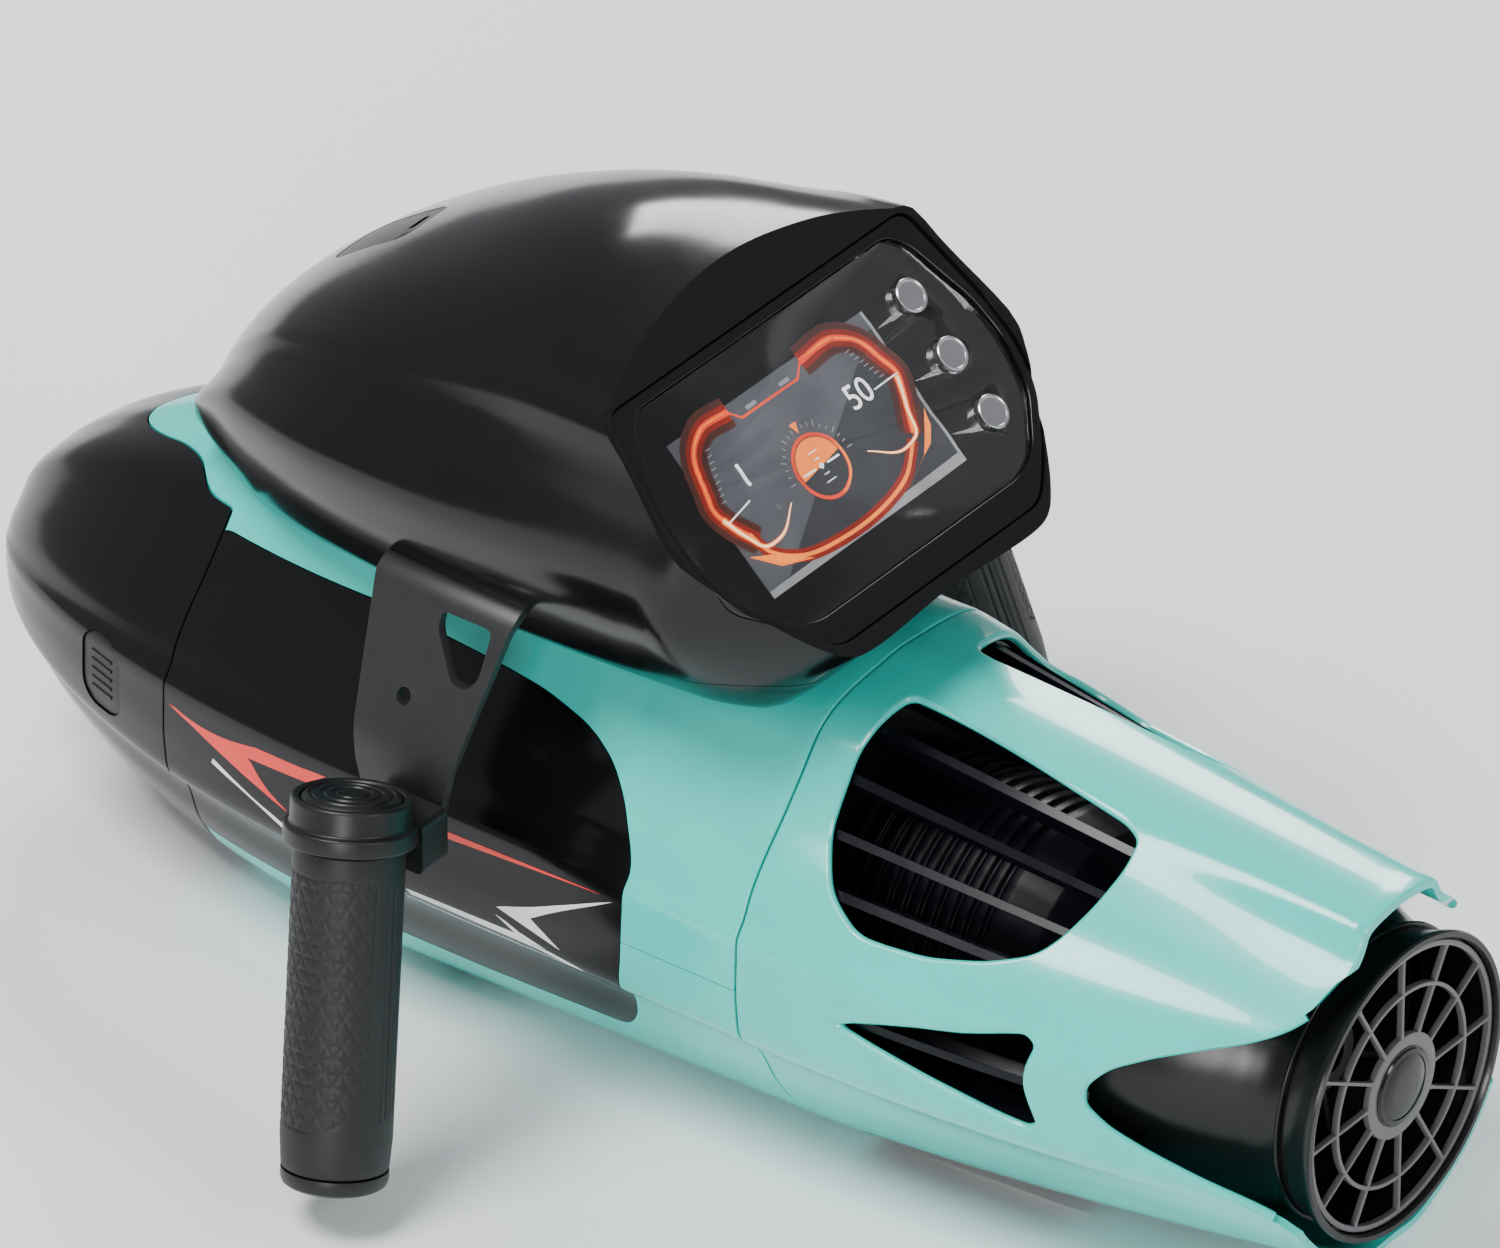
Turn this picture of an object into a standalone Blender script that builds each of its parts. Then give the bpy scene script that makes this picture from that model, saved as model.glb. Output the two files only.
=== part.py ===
"""Underwater scooter: a hull with a lift-off nose, a jet pump, a display pod and two grips.

Metres, +Z up, +Y towards the nose, +X to starboard. The hull's axis lies along Y at AXIS_Z and the flat of
the belly is at Z = 0. Left is port, at -X. Shapes are drawn about the design origin, and the whole scooter
hangs on one empty that brings the origin under the middle of its length.
"""

import math

import bmesh
import bpy
from mathutils import Vector

GAP = 0.0003  # between pieces that touch on the real object
FLAT_ENOUGH = 0.00001  # a face whose corners leave its plane by less counts as flat
AXIS_Z = 0.071
NOSE_TIP_Y = 0.2610
BULGE_Y = 0.0707  # the hull is fullest here and tapers as an ellipse towards the nose
FRONT_SEAM_Y = 0.1470
MID_SEAM_Y = -0.0800  # the rear taper starts here
TAIL_Y = -0.2602
SHELL_END_Y = -0.2660
RIM_Y = -0.2695
ORIGIN_SHIFT_Y = -(NOSE_TIP_Y + RIM_Y) / 2
PARTING_Z = 0.0730
FRONT_WALL = 0.0050
REAR_WALL = 0.0030
NOSE_WALL = 0.0040
PANEL_THICKNESS = 0.0022
PANEL_RECESS = 0.0027

# Half sections of the hull, from the spine round to the keel, as (x, z above the axis).
BODY_SECTION = [
    (0, 0.0830), (0.0090, 0.0824), (0.0398, 0.0750), (0.0503, 0.0627), (0.0587, 0.0528),
    (0.0677, 0.0431), (0.0751, 0.0333), (0.0791, 0.0250), (0.0821, 0.0208), (0.0828, 0.0130),
    (0.0828, -0.0050), (0.0804, -0.0171), (0.0734, -0.0233), (0.0650, -0.0440), (0.0540, -0.0600),
    (0.0385, -0.0710), (0, -0.0710),
]  # fmt: skip
TAIL_SECTION = [
    (0, 0.0680), (0.0110, 0.0670), (0.0235, 0.0560), (0.0330, 0.0480), (0.0410, 0.0400),
    (0.0470, 0.0335), (0.0520, 0.0250), (0.0555, 0.0180), (0.0575, 0.0110), (0.0585, 0.0040),
    (0.0585, -0.0080), (0.0565, -0.0160), (0.0530, -0.0230), (0.0465, -0.0340), (0.0360, -0.0450),
    (0.0200, -0.0545), (0, -0.0575),
]  # fmt: skip
FRONT_STATIONS = [MID_SEAM_Y, -0.0300, 0.0200, BULGE_Y, 0.1000, 0.1250, FRONT_SEAM_Y]
BELLY_NARROWING = {13: 0.0035, 14: 0.0050, 15: 0.0040}  # of a section point's x, at the mid seam
TAPER_POWERS = [1.0] * 5 + [1.3, 1.6, 1.9] + [2.2] * 5 + [1.4] * 4  # how late each point pulls in

# Openings, as (y, across) outlines. Port side; starboard is its mirror image.
UPPER_WINDOW = [
    (-0.0950, 0.0410), (-0.0930, 0.0130), (-0.0945, -0.0100), (-0.1040, -0.0275), (-0.1180, -0.0365),
    (-0.1420, -0.0340), (-0.1610, -0.0275), (-0.1750, -0.0190), (-0.1845, 0.0015), (-0.1885, 0.0160),
    (-0.1880, 0.0265), (-0.1805, 0.0308),
]  # fmt: skip
UPPER_WINDOW_TILT = math.radians(40)  # of its outward direction from vertical
DART_WINDOW = [
    (-0.1165, 0.0765), (-0.1225, 0.0795), (-0.1480, 0.0870), (-0.1800, 0.0945), (-0.1865, 0.0915),
    (-0.1830, 0.0790), (-0.1884, 0.0640), (-0.1840, 0.0605), (-0.1500, 0.0665), (-0.1200, 0.0735),
]  # fmt: skip
TEARDROP = [
    (-0.2015, 0.0806), (-0.2060, 0.0893), (-0.2158, 0.0948), (-0.2320, 0.1011), (-0.2478, 0.1071),
    (-0.2552, 0.1111), (-0.2602, 0.1158), (-0.2635, 0.1225), (-0.2800, 0.1300), (-0.2800, 0.0380),
    (-0.2640, 0.0450), (-0.2500, 0.0531), (-0.2325, 0.0603), (-0.2190, 0.0654), (-0.2074, 0.0712),
    (-0.2020, 0.0765),
]  # fmt: skip
KEEL_WINDOW = [(-0.1000, 0.0130), (-0.1000, 0.0480), (-0.1640, 0.0420), (-0.1720, 0.0350), (-0.1740, 0.0130)]
SIDE_PANEL = [
    (0.1490, 0.1307), (0.0803, 0.1331), (0.0296, 0.1305), (0.0136, 0.1292), (-0.0056, 0.1255),
    (-0.0186, 0.1200), (-0.0277, 0.1130), (-0.0350, 0.1035), (-0.0375, 0.0963), (-0.0370, 0.0895),
    (-0.0366, 0.0696), (-0.0330, 0.0455), (-0.0295, 0.0330), (-0.0224, 0.0250), (0.0300, 0.0235),
    (0.1490, 0.0270),
]  # fmt: skip
TONGUE = [(0.1340, 0.0370), (0.1473, 0.0400), (0.1580, 0.0370), (0.1707, 0.0265), (0.1810, 0.0213),
          (0.1921, 0.0175), (0.2018, 0.0124), (0.2085, 0.0055), (0.2100, 0)]  # fmt: skip

LATCH_CENTRE = (0.1785, 0.0765)
LATCH_SIZE = (0.0190, 0.0260)
LATCH_CORNER = 0.0070

BATTERY_HALF = (0.0430, 0.0390)
BATTERY_Y = (-0.0520, 0.1280)
LID_FRONT_Y = 0.1415
BAY_HALF = (0.0472, 0.0430)
BAY_WALL = 0.0025

SHAFT_RADIUS = 0.0050
MOTOR_RADIUS = 0.0450
MOTOR_WALL = 0.0035
PUMP_BORE = 0.0465
HUB_RADIUS = 0.0160
BLADES = 4
VANES = 7
GRILLE_Y = (-0.2677, -0.2655)
GRILLE_RADIUS = 0.0467
SPOKES = 12

# The display's plane leans back towards the nose.
FACE_CENTRE = Vector((0, -0.0573, 0.2200))
FACE_TILT = math.radians(43.5)
FACE_DOWN = Vector((0, -math.cos(FACE_TILT), -math.sin(FACE_TILT)))
FACE_OUT = Vector((0, -math.sin(FACE_TILT), math.cos(FACE_TILT)))
POD_SPLIT_Z = 0.1720
POD_WALL = 0.0025
# Outlines on the display's plane as (across, down), starboard half from top to bottom.
BEZEL_HALF = [(0.0735, -0.0455), (0.0800, -0.0100), (0.0805, 0.0080), (0.0765, 0.0225), (0.0630, 0.0395),
              (0.0505, 0.0510)]  # fmt: skip
GLASS_HALF = [(0.0615, -0.0415), (0.0670, -0.0360), (0.0762, -0.0100), (0.0775, 0.0050), (0.0735, 0.0210),
              (0.0600, 0.0370), (0.0500, 0.0408)]  # fmt: skip
SCREEN_SIZE = (0.0952, 0.0551)
SCREEN_CENTRE_U = -0.0093
BUTTON_U = 0.0560
BUTTON_V = (-0.0226, -0.0011, 0.0204)
BUTTON_RADIUS = 0.0057

BRACKET_THICKNESS = 0.0030
BRACKET_PATH = [(0.0540, 0.1755), (0.0830, 0.1755), (0.1075, 0.1274), (0.1110, 0.1020)]
MIRROR = {-1: Vector((-1, 1, 1)), 1: Vector((1, 1, 1))}
GRIP_TOP = Vector((0.1372, 0.0230, 0.1320))
GRIP_DOWN = Vector((0.2713, -0.1370, -1.0)).normalized()
SLEEVE_RADIUS = 0.0172
GRIP_BORE = 0.0135

BRACKET_EDGES = [(0.0015, 0.0545), (0.0015, 0.0545), (0.0085, 0.0460), (0.0120, 0.0360)]  # rear and front Y
BRACKET_WINDOW = [(0.0080, 0.1700), (0.0080, 0.1560), (0.0110, 0.1520), (0.0170, 0.1520), (0.0200, 0.1560),
                  (0.0270, 0.1650), (0.0270, 0.1700)]  # fmt: skip
BRACKET_HOLE = (0.0320, 0.1440)

RIB_TOP = 0.0036  # of the intake cage, below the hull's surface
RIB_INNER = 0.90  # the ribs' inner edge, as a share of their outer one
RIB_PITCH = 13.0
RIB_HALF_ANGLE = 1.1
RIB_COUNT = 14
SPOKE_WIDTH = 0.0013
# Nozzle loops as (y, half width, half height), outside from front to rear, then inside back to the front.
NOZZLE_OUTSIDE = [(-0.1985, 0.0640, 0.0555), (-0.2100, 0.0612, 0.0550), (-0.2200, 0.0582, 0.0540),
                  (-0.2320, 0.0535, 0.0522), (-0.2430, 0.0485, 0.0485), (-0.2520, 0.0462, 0.0462),
                  (-0.2600, 0.0470, 0.0470), (-0.2660, 0.0492, 0.0492), (-0.2688, 0.0500, 0.0500),
                  (-0.2690, 0.0490, 0.0490)]  # fmt: skip
NOZZLE_INSIDE = [(-0.2690, 0.0475, 0.0475), (-0.2645, 0.0472, 0.0472), (-0.2645, 0.0450, 0.0450),
                 (-0.2560, 0.0432, 0.0432), (-0.2420, 0.0455, 0.0455), (-0.2300, 0.0500, 0.0485),
                 (-0.2100, 0.0580, 0.0520), (-0.1985, 0.0610, 0.0525)]  # fmt: skip
HANDLE_AXIS_Y = 0.1444
HANDLE_AXIS_Z = 0.0920
ACCESSORY_Y = 0.1150
LAMP_Y = 0.1990
POD_RIM_OUT = 0.0015

# Pod lines as (y, value), from its front tip to its rear.
POD_CROWN = [(0.1735, 0.1570), (0.1675, 0.1745), (0.1585, 0.1890), (0.1445, 0.2055), (0.1260, 0.2210),
             (0.1025, 0.2365), (0.0800, 0.2490), (0.0500, 0.2620), (0.0200, 0.2685), (-0.0100, 0.2660),
             (-0.0400, 0.2600), (-0.1150, 0.2600)]  # fmt: skip
POD_SHOULDER_X = [(0.1735, 0.0100), (0.1675, 0.0200), (0.1585, 0.0280), (0.1445, 0.0370), (0.1260, 0.0470),
                  (0.1025, 0.0550), (0.0800, 0.0605), (0.0500, 0.0655), (0.0200, 0.0700), (-0.0100, 0.0750),
                  (-0.0400, 0.0775), (-0.1150, 0.0775)]  # fmt: skip
POD_SHOULDER_Z = [(0.1735, 0.1520), (0.1675, 0.1660), (0.1585, 0.1790), (0.1445, 0.1950), (0.1260, 0.2100),
                  (0.1025, 0.2215), (0.0800, 0.2290), (0.0500, 0.2370), (0.0200, 0.2445), (-0.0100, 0.2500),
                  (-0.0400, 0.2520), (-0.1150, 0.2520)]  # fmt: skip
POD_WIDE_X = [(0.1735, 0.0180), (0.1675, 0.0320), (0.1585, 0.0430), (0.1445, 0.0540), (0.1260, 0.0655),
              (0.1025, 0.0755), (0.0800, 0.0815), (0.0500, 0.0855), (0.0200, 0.0872), (-0.0100, 0.0882),
              (-0.0400, 0.0887), (-0.0575, 0.0884), (-0.0680, 0.0800), (-0.0955, 0.0590),
              (-0.1150, 0.0400)]  # fmt: skip
POD_WIDE_Z = [(0.1735, 0.1480), (0.1585, 0.1720), (0.1260, 0.1900), (0.0800, 0.1990), (0.0200, 0.2020),
              (-0.0400, 0.2040), (-0.1150, 0.2040)]  # fmt: skip
POD_FLOOR_X = [(0.1735, 0.0060), (0.1585, 0.0250), (0.1260, 0.0430), (0.0800, 0.0560), (0.0200, 0.0610),
               (-0.0400, 0.0610), (-0.0680, 0.0580), (-0.0955, 0.0510), (-0.1150, 0.0300)]  # fmt: skip
POD_FLOOR_Z = [(0.1735, 0.1440), (0.1585, 0.1440), (0.1260, 0.1440), (0.0800, 0.1500), (-0.0500, 0.1565),
               (-0.0700, 0.1580), (-0.0820, 0.1670), (-0.0955, 0.1800), (-0.1150, 0.1950)]  # fmt: skip
POD_STATIONS = [-0.1150, -0.0955, -0.0820, -0.0680, -0.0575, -0.0400, -0.0100, 0.0200, 0.0500, 0.0800,
                0.1025, 0.1260, 0.1445, 0.1585, 0.1675, 0.1735]  # fmt: skip


# ---------------------------------------------------------------- helpers


def material(name, colour, roughness, metallic=0.0):
    """A Principled material, shared by the pieces that use it."""
    found = bpy.data.materials.get(name)
    if found:
        return found
    made = bpy.data.materials.new(name)
    made.use_nodes = True
    shader = made.node_tree.nodes["Principled BSDF"]
    shader.inputs["Base Color"].default_value = (*colour, 1)
    shader.inputs["Roughness"].default_value = roughness
    shader.inputs["Metallic"].default_value = metallic
    made.diffuse_color = (*colour, 1)
    return made


TEAL = ("teal_shell", (0.14, 0.64, 0.58), 0.25)
GLOSS_BLACK = ("gloss_black", (0.012, 0.012, 0.014), 0.15)
SATIN_BLACK = ("satin_black", (0.020, 0.020, 0.022), 0.45)
GREY_METAL = ("bracket_grey", (0.050, 0.050, 0.052), 0.45)
RUBBER = ("grip_rubber", (0.018, 0.018, 0.018), 0.75)
STEEL = ("steel", (0.60, 0.60, 0.62), 0.30, 1.0)
COPPER = ("copper", (0.55, 0.28, 0.15), 0.40, 1.0)
BATTERY_GREY = ("battery_grey", (0.42, 0.40, 0.46), 0.50)
BOARD = ("board_green", (0.02, 0.15, 0.06), 0.50)
GLASS = ("glass_dark", (0.02, 0.02, 0.025), 0.05)
SILICONE = ("seal_rubber", (0.05, 0.05, 0.05), 0.80)


def face_outwards(mesh):
    bmesh.ops.recalc_face_normals(mesh, faces=mesh.faces)
    if mesh.calc_volume(signed=True) < 0:
        bmesh.ops.reverse_faces(mesh, faces=mesh.faces)


def place(name, mesh_data, finish, smooth=35):
    """Turns a bmesh into a named object with its material."""
    face_outwards(mesh_data)
    mesh = bpy.data.meshes.new(name)
    mesh_data.to_mesh(mesh)
    mesh_data.free()
    mesh.materials.append(material(*finish))
    mesh.shade_smooth()
    mesh.set_sharp_from_angle(angle=math.radians(smooth))
    obj = bpy.data.objects.new(name, mesh)
    bpy.context.scene.collection.objects.link(obj)
    return obj


def helper(obj):
    """Marks a cutter or a tool body, which isn't a piece of the object."""
    obj.hide_render = True
    obj.display_type = "WIRE"
    return obj


def boolean(obj, tool, operation="DIFFERENCE"):
    modifier = obj.modifiers.new(tool.name, "BOOLEAN")
    modifier.operation = operation
    modifier.solver = "EXACT"
    modifier.object = tool
    return obj


def band(mesh, low, high):
    """Joins two loops. Twisted faces are split alike on every body that shares their surface."""
    for i, corner in enumerate(low):
        j = (i + 1) % len(low)
        quad = (corner, low[j], high[j], high[i])
        across = (low[j].co - corner.co).cross(high[j].co - corner.co).normalized()
        if abs(across.dot(high[i].co - corner.co)) < FLAT_ENOUGH:
            mesh.faces.new(quad)
            continue
        rear = (0, 1) if corner.co.y <= high[i].co.y else (3, 2)
        start = max(rear, key=lambda at: round(quad[at].co.z, 5))
        mesh.faces.new((quad[start], quad[start - 3], quad[start - 2]))
        mesh.faces.new((quad[start], quad[start - 2], quad[start - 1]))


def loft(sections):
    """A closed body through equal-length closed sections, with flat ends."""
    mesh = bmesh.new()
    rings = [[mesh.verts.new(point) for point in section] for section in sections]
    for low, high in zip(rings, rings[1:]):
        band(mesh, low, high)
    ends = [mesh.faces.new(rings[0]), mesh.faces.new(rings[-1])]
    bmesh.ops.triangulate(mesh, faces=[face for face in ends if len(face.verts) > 4])
    return mesh


def tube(loops):
    """A closed body whose last loop joins its first, such as a ring or an open-ended shell."""
    mesh = bmesh.new()
    rows = [[mesh.verts.new(point) for point in loop] for loop in loops]
    for low, high in zip(rows, rows[1:] + rows[:1]):
        band(mesh, low, high)
    return mesh


def prism(outline, origin, along_u, along_v, direction, start, end):
    """An outline in the plane of u and v, extruded along a direction."""
    def corner(point, depth):
        return origin + along_u * point[0] + along_v * point[1] + direction * depth

    return loft([[corner(point, depth) for point in outline] for depth in (start, end)])


def turned(profile, origin, axis, segments=16):
    """A profile of (radius, distance along the axis), turned into a closed body."""
    axis = Vector(axis).normalized()
    side = axis.orthogonal().normalized() if abs(axis.y) < 0.99 else Vector((1, 0, 0))
    other = axis.cross(side)
    loops = []
    for radius, along in profile:
        loops.append([
            Vector(origin) + axis * along
            + (side * math.cos(turn) + other * math.sin(turn)) * radius
            for turn in (2 * math.pi * i / segments for i in range(segments))
        ])
    return loft(loops)


def ring_body(profile, origin, axis, segments=16):
    """A closed profile of (radius, distance along the axis), clear of the axis, turned full circle."""
    axis = Vector(axis).normalized()
    side = axis.orthogonal().normalized() if abs(axis.y) < 0.99 else Vector((1, 0, 0))
    other = axis.cross(side)
    return tube([
        [
            Vector(origin) + axis * along
            + (side * math.cos(turn) + other * math.sin(turn)) * radius
            for turn in (2 * math.pi * i / segments for i in range(segments))
        ]
        for radius, along in profile
    ])


def sliced(mesh, point, outward):
    """Cuts away what lies beyond a plane, and closes the cut."""
    geometry = mesh.verts[:] + mesh.edges[:] + mesh.faces[:]
    cut = bmesh.ops.bisect_plane(
        mesh, geom=geometry, plane_co=point, plane_no=outward, clear_outer=True, dist=1e-7
    )
    edges = [item for item in cut["geom_cut"] if isinstance(item, bmesh.types.BMEdge)]
    bmesh.ops.contextual_create(mesh, geom=edges)
    bmesh.ops.triangulate(mesh, faces=[face for face in mesh.faces if len(face.verts) > 4])
    return mesh


def rounded_rectangle(width, height, corner, steps=3):
    """Outline of (u, v) about its own centre."""
    points = []
    for quarter, (sx, sy) in enumerate(((1, 1), (-1, 1), (-1, -1), (1, -1))):
        centre = (sx * (width / 2 - corner), sy * (height / 2 - corner))
        for step in range(steps + 1):
            turn = math.pi / 2 * (quarter + step / steps)
            points.append((centre[0] + corner * math.cos(turn), centre[1] + corner * math.sin(turn)))
    return points


def circle(radius, centre=(0, 0), segments=16):
    return [
        (centre[0] + radius * math.cos(2 * math.pi * i / segments),
         centre[1] + radius * math.sin(2 * math.pi * i / segments))
        for i in range(segments)
    ]


def mirrored(half):
    """A half outline with its mirror image in u, as one outline."""
    return half + [(-u, v) for u, v in half[::-1]]


def sides():
    """(name, sign of X) of port and starboard."""
    return (("left", -1), ("right", 1))


# ---------------------------------------------------------------- hull shape


def half_section(y):
    """(x, z above the axis) of the hull at a station, spine to keel."""
    if y >= BULGE_Y:
        reach = NOSE_TIP_Y - BULGE_Y
        scale = math.sqrt(max(0.0, 1 - ((y - BULGE_Y) / reach) ** 2))
        return [(x * scale, z * scale) for x, z in BODY_SECTION]
    slim = 1 - min(1.0, max(0.0, (y - MID_SEAM_Y) / (BULGE_Y - MID_SEAM_Y)))
    along = min(1.0, max(0.0, (MID_SEAM_Y - y) / (MID_SEAM_Y - TAIL_Y)))
    points = []
    for i, ((x, z), (tail_x, tail_z)) in enumerate(zip(BODY_SECTION, TAIL_SECTION)):
        x -= BELLY_NARROWING.get(i, 0.0) * slim
        blend = along ** TAPER_POWERS[i]
        points.append((x + (tail_x - x) * blend, z + (tail_z - z) * blend))
    return points


def inset(points, depth):
    """A half section moved inwards by depth, square to its own outline."""
    moved = []
    for i, (x, z) in enumerate(points):
        before = points[i - 1] if i else (-points[1][0], points[1][1])
        after = points[i + 1] if i + 1 < len(points) else (-points[-2][0], points[-2][1])
        run = Vector((after[0] - before[0], after[1] - before[1])).normalized()
        moved.append((max(0.0, x + run.y * depth) if x else 0.0, z - run.x * depth))
    return moved


def ring(y, depth=0.0):
    """The whole hull section at a station, moved inwards by depth."""
    half = inset(half_section(y), depth) if depth else half_section(y)
    port_half = [(-x, z) for x, z in half[-2:0:-1]]
    return [Vector((x, y, AXIS_Z + z)) for x, z in half + port_half]


def nose_stations(start, end, count):
    """Closer together towards the tip, where the ellipse turns fastest."""
    reach = NOSE_TIP_Y - BULGE_Y
    first = math.asin((start - BULGE_Y) / reach)
    last = math.asin((end - BULGE_Y) / reach)
    return [BULGE_Y + reach * math.sin(first + (last - first) * i / (count - 1)) for i in range(count)]


def hull_solid(name, depth):
    """A closed body of the front hull's shape, moved inwards by depth: a tool for cutting."""
    steps = [-0.1000, *FRONT_STATIONS, 0.1650]
    return helper(place(name, loft([ring(y, depth) for y in steps]), SATIN_BLACK))


def side_prism(name, outline, sign, grow=0.0, inner=0.0300, outer=0.1000):
    """A (y, z) outline extruded sideways through one side of the hull."""
    grown = grow_outline(outline, grow) if grow else outline
    mesh = prism(grown, Vector(), Vector((0, 1, 0)), Vector((0, 0, 1)), Vector((sign, 0, 0)), inner, outer)
    return helper(place(name, mesh, SATIN_BLACK))


def grow_outline(outline, distance):
    """An outline moved outwards by a distance, corner by corner."""
    area = sum(a[0] * b[1] - b[0] * a[1] for a, b in zip(outline, outline[1:] + outline[:1]))
    turn = 1 if area > 0 else -1
    grown = []
    for i, point in enumerate(outline):
        before, after = Vector(outline[i - 1]), Vector(outline[(i + 1) % len(outline)])
        here = Vector(point)
        first, second = (here - before).normalized(), (after - here).normalized()
        normal = Vector((first.y + second.y, -first.x - second.x)) * turn
        normal.normalize()
        square = Vector((first.y, -first.x)) * turn
        grown.append(tuple(here + normal * distance / max(0.4, normal.dot(square))))
    return grown


def wall_section(y, depth, upper, wall):
    """The C-shaped wall of the upper or lower front shell at a station."""
    level = PARTING_Z - AXIS_Z + (GAP / 2 if upper else -GAP / 2)

    def clipped(points):
        kept = []
        for (x0, z0), (x1, z1) in zip(points, points[1:]):
            if (z0 - level) * (z1 - level) < 0:
                share = (level - z0) / (z1 - z0)
                kept.append(((x0 + (x1 - x0) * share, level), z0, z1))
        at = kept[0][0]
        if upper:
            return [p for p in points if p[1] > level] + [at]
        return [at] + [p for p in points if p[1] < level]

    outer = clipped(half_section(y) if not depth else inset(half_section(y), depth))
    inner = clipped(inset(half_section(y), depth + wall))
    if not upper:
        outer, inner = outer[::-1], inner[::-1]
    outer_full = [(-x, z) for x, z in outer[:0:-1]] + outer
    inner_full = [(-x, z) for x, z in inner[:0:-1]] + inner
    return [Vector((x, y, AXIS_Z + z)) for x, z in outer_full + inner_full[::-1]]


# ---------------------------------------------------------------- hull pieces


def front_shells():
    """Upper and lower teal shells between the two seams, with recesses for the side panels."""
    steps = [MID_SEAM_Y + GAP, *FRONT_STATIONS[1:-1], FRONT_SEAM_Y - GAP]
    shells = []
    for name, upper in (("hull_shell_upper", True), ("hull_shell_lower", False)):
        shells.append(place(name, loft([wall_section(y, 0, upper, FRONT_WALL) for y in steps]), TEAL))
    core = hull_solid("tool_recess_core", PANEL_RECESS)
    for side, sign in sides():
        recess = side_prism(f"tool_recess_{side}", SIDE_PANEL, sign)
        boolean(recess, core)
        for shell in shells:
            boolean(shell, recess)
    tongue(shells[0])


def tongue(upper_shell):
    """The upper shell's tongue, which runs forwards over the nose cap."""
    outline = TONGUE + [(y, -x) for y, x in TONGUE[-2::-1]]
    mesh = loft([ring(y) for y in nose_stations(0.1300, 0.2300, 8)])
    body = helper(place("tool_tongue", mesh, TEAL))
    mesh = prism(outline, Vector(), Vector((0, 1, 0)), Vector((1, 0, 0)), Vector((0, 0, 1)), 0.1000, 0.1700)
    boolean(body, helper(place("tool_tongue_outline", mesh, TEAL)), "INTERSECT")
    mesh = loft([ring(y, NOSE_WALL) for y in nose_stations(0.1200, 0.2350, 9)])
    boolean(body, helper(place("tool_tongue_core", mesh, TEAL)))
    boolean(upper_shell, body, "UNION")


def nose_cap():
    """The lift-off nose, with a slot for the tongue and a hole for each latch button."""
    start = FRONT_SEAM_Y + GAP
    outer = [ring(y) for y in [*nose_stations(start, NOSE_TIP_Y - 0.0008, 9), NOSE_TIP_Y - 0.0001]]
    inner = [ring(y, NOSE_WALL) for y in nose_stations(start, NOSE_TIP_Y - 0.0090, 7)]
    cap = place("nose_cap", loft(inner[::-1] + outer), GLOSS_BLACK)
    outline = TONGUE + [(y, -x) for y, x in TONGUE[-2::-1]]
    mesh = prism(grow_outline(outline, 2 * GAP), Vector(), Vector((0, 1, 0)), Vector((1, 0, 0)),
                 Vector((0, 0, 1)), 0.1000, 0.1800)
    boolean(cap, helper(place("tool_tongue_slot", mesh, GLOSS_BLACK)))
    for side, sign in sides():
        outline = [(LATCH_CENTRE[0] + u, LATCH_CENTRE[1] + v)
                   for u, v in rounded_rectangle(*LATCH_SIZE, LATCH_CORNER)]
        boolean(cap, side_prism(f"tool_latch_hole_{side}", outline, sign, grow=GAP))
        button = place(f"latch_button_{side}", loft([ring(y, 0.0006) for y in nose_stations(0.16, 0.20, 5)]),
                       GLOSS_BLACK)
        boolean(button, side_prism(f"tool_latch_{side}", outline, sign, inner=0.0600), "INTERSECT")


def nose_seal():
    """The O-ring inside the front seam."""
    rings = [ring(FRONT_SEAM_Y + dy, depth)
             for dy, depth in ((-0.0022, 0.0056), (0.0022, 0.0056), (0.0022, 0.0080), (-0.0022, 0.0080))]
    place("nose_seal_ring", tube(rings), SILICONE)


def side_panels():
    """The black panel set into each side of the front shells."""
    core = hull_solid("tool_panel_core", PANEL_THICKNESS)
    for side, sign in sides():
        mesh = loft([ring(y) for y in (*FRONT_STATIONS[:-1], FRONT_SEAM_Y - GAP)])
        panel = place(f"side_panel_{side}", mesh, GLOSS_BLACK)
        boolean(panel, side_prism(f"tool_panel_{side}", grow_outline(SIDE_PANEL, -GAP), sign), "INTERSECT")
        boolean(panel, core)


def rear_shell():
    """The teal tail, with intake windows and a teardrop each side of the nozzle."""
    steps = [MID_SEAM_Y - GAP, -0.1100, -0.1400, -0.1700, -0.1980, -0.2200, -0.2400, -0.2560]
    outer = [ring(y) for y in steps] + [ring(SHELL_END_Y, 0.0040)]
    inner = [ring(y, REAR_WALL) for y in steps] + [ring(SHELL_END_Y, 0.0065)]
    shell = place("rear_shell", tube(outer + inner[::-1]), TEAL)
    across = Vector((math.cos(UPPER_WINDOW_TILT), 0, math.sin(UPPER_WINDOW_TILT)))
    for side, sign in sides():
        up = Vector((sign * math.sin(UPPER_WINDOW_TILT), 0, math.cos(UPPER_WINDOW_TILT)))
        inward = Vector((-sign * across.x, 0, across.z))
        mesh = prism(UPPER_WINDOW, Vector((0, 0, AXIS_Z)), Vector((0, 1, 0)), inward, up, 0.0300, 0.1200)
        boolean(shell, helper(place(f"tool_upper_window_{side}", mesh, TEAL)))
        boolean(shell, side_prism(f"tool_dart_{side}", DART_WINDOW, sign, outer=0.1200))
        boolean(shell, side_prism(f"tool_teardrop_{side}", TEARDROP, sign, inner=0.0200, outer=0.1200))
        mesh = prism(
            KEEL_WINDOW, Vector(), Vector((0, 1, 0)), Vector((sign, 0, 0)), Vector((0, 0, 1)), -0.0300, 0.0300
        )
        boolean(shell, helper(place(f"tool_keel_window_{side}", mesh, TEAL)))


# ---------------------------------------------------------------- intake, motor and pump


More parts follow.
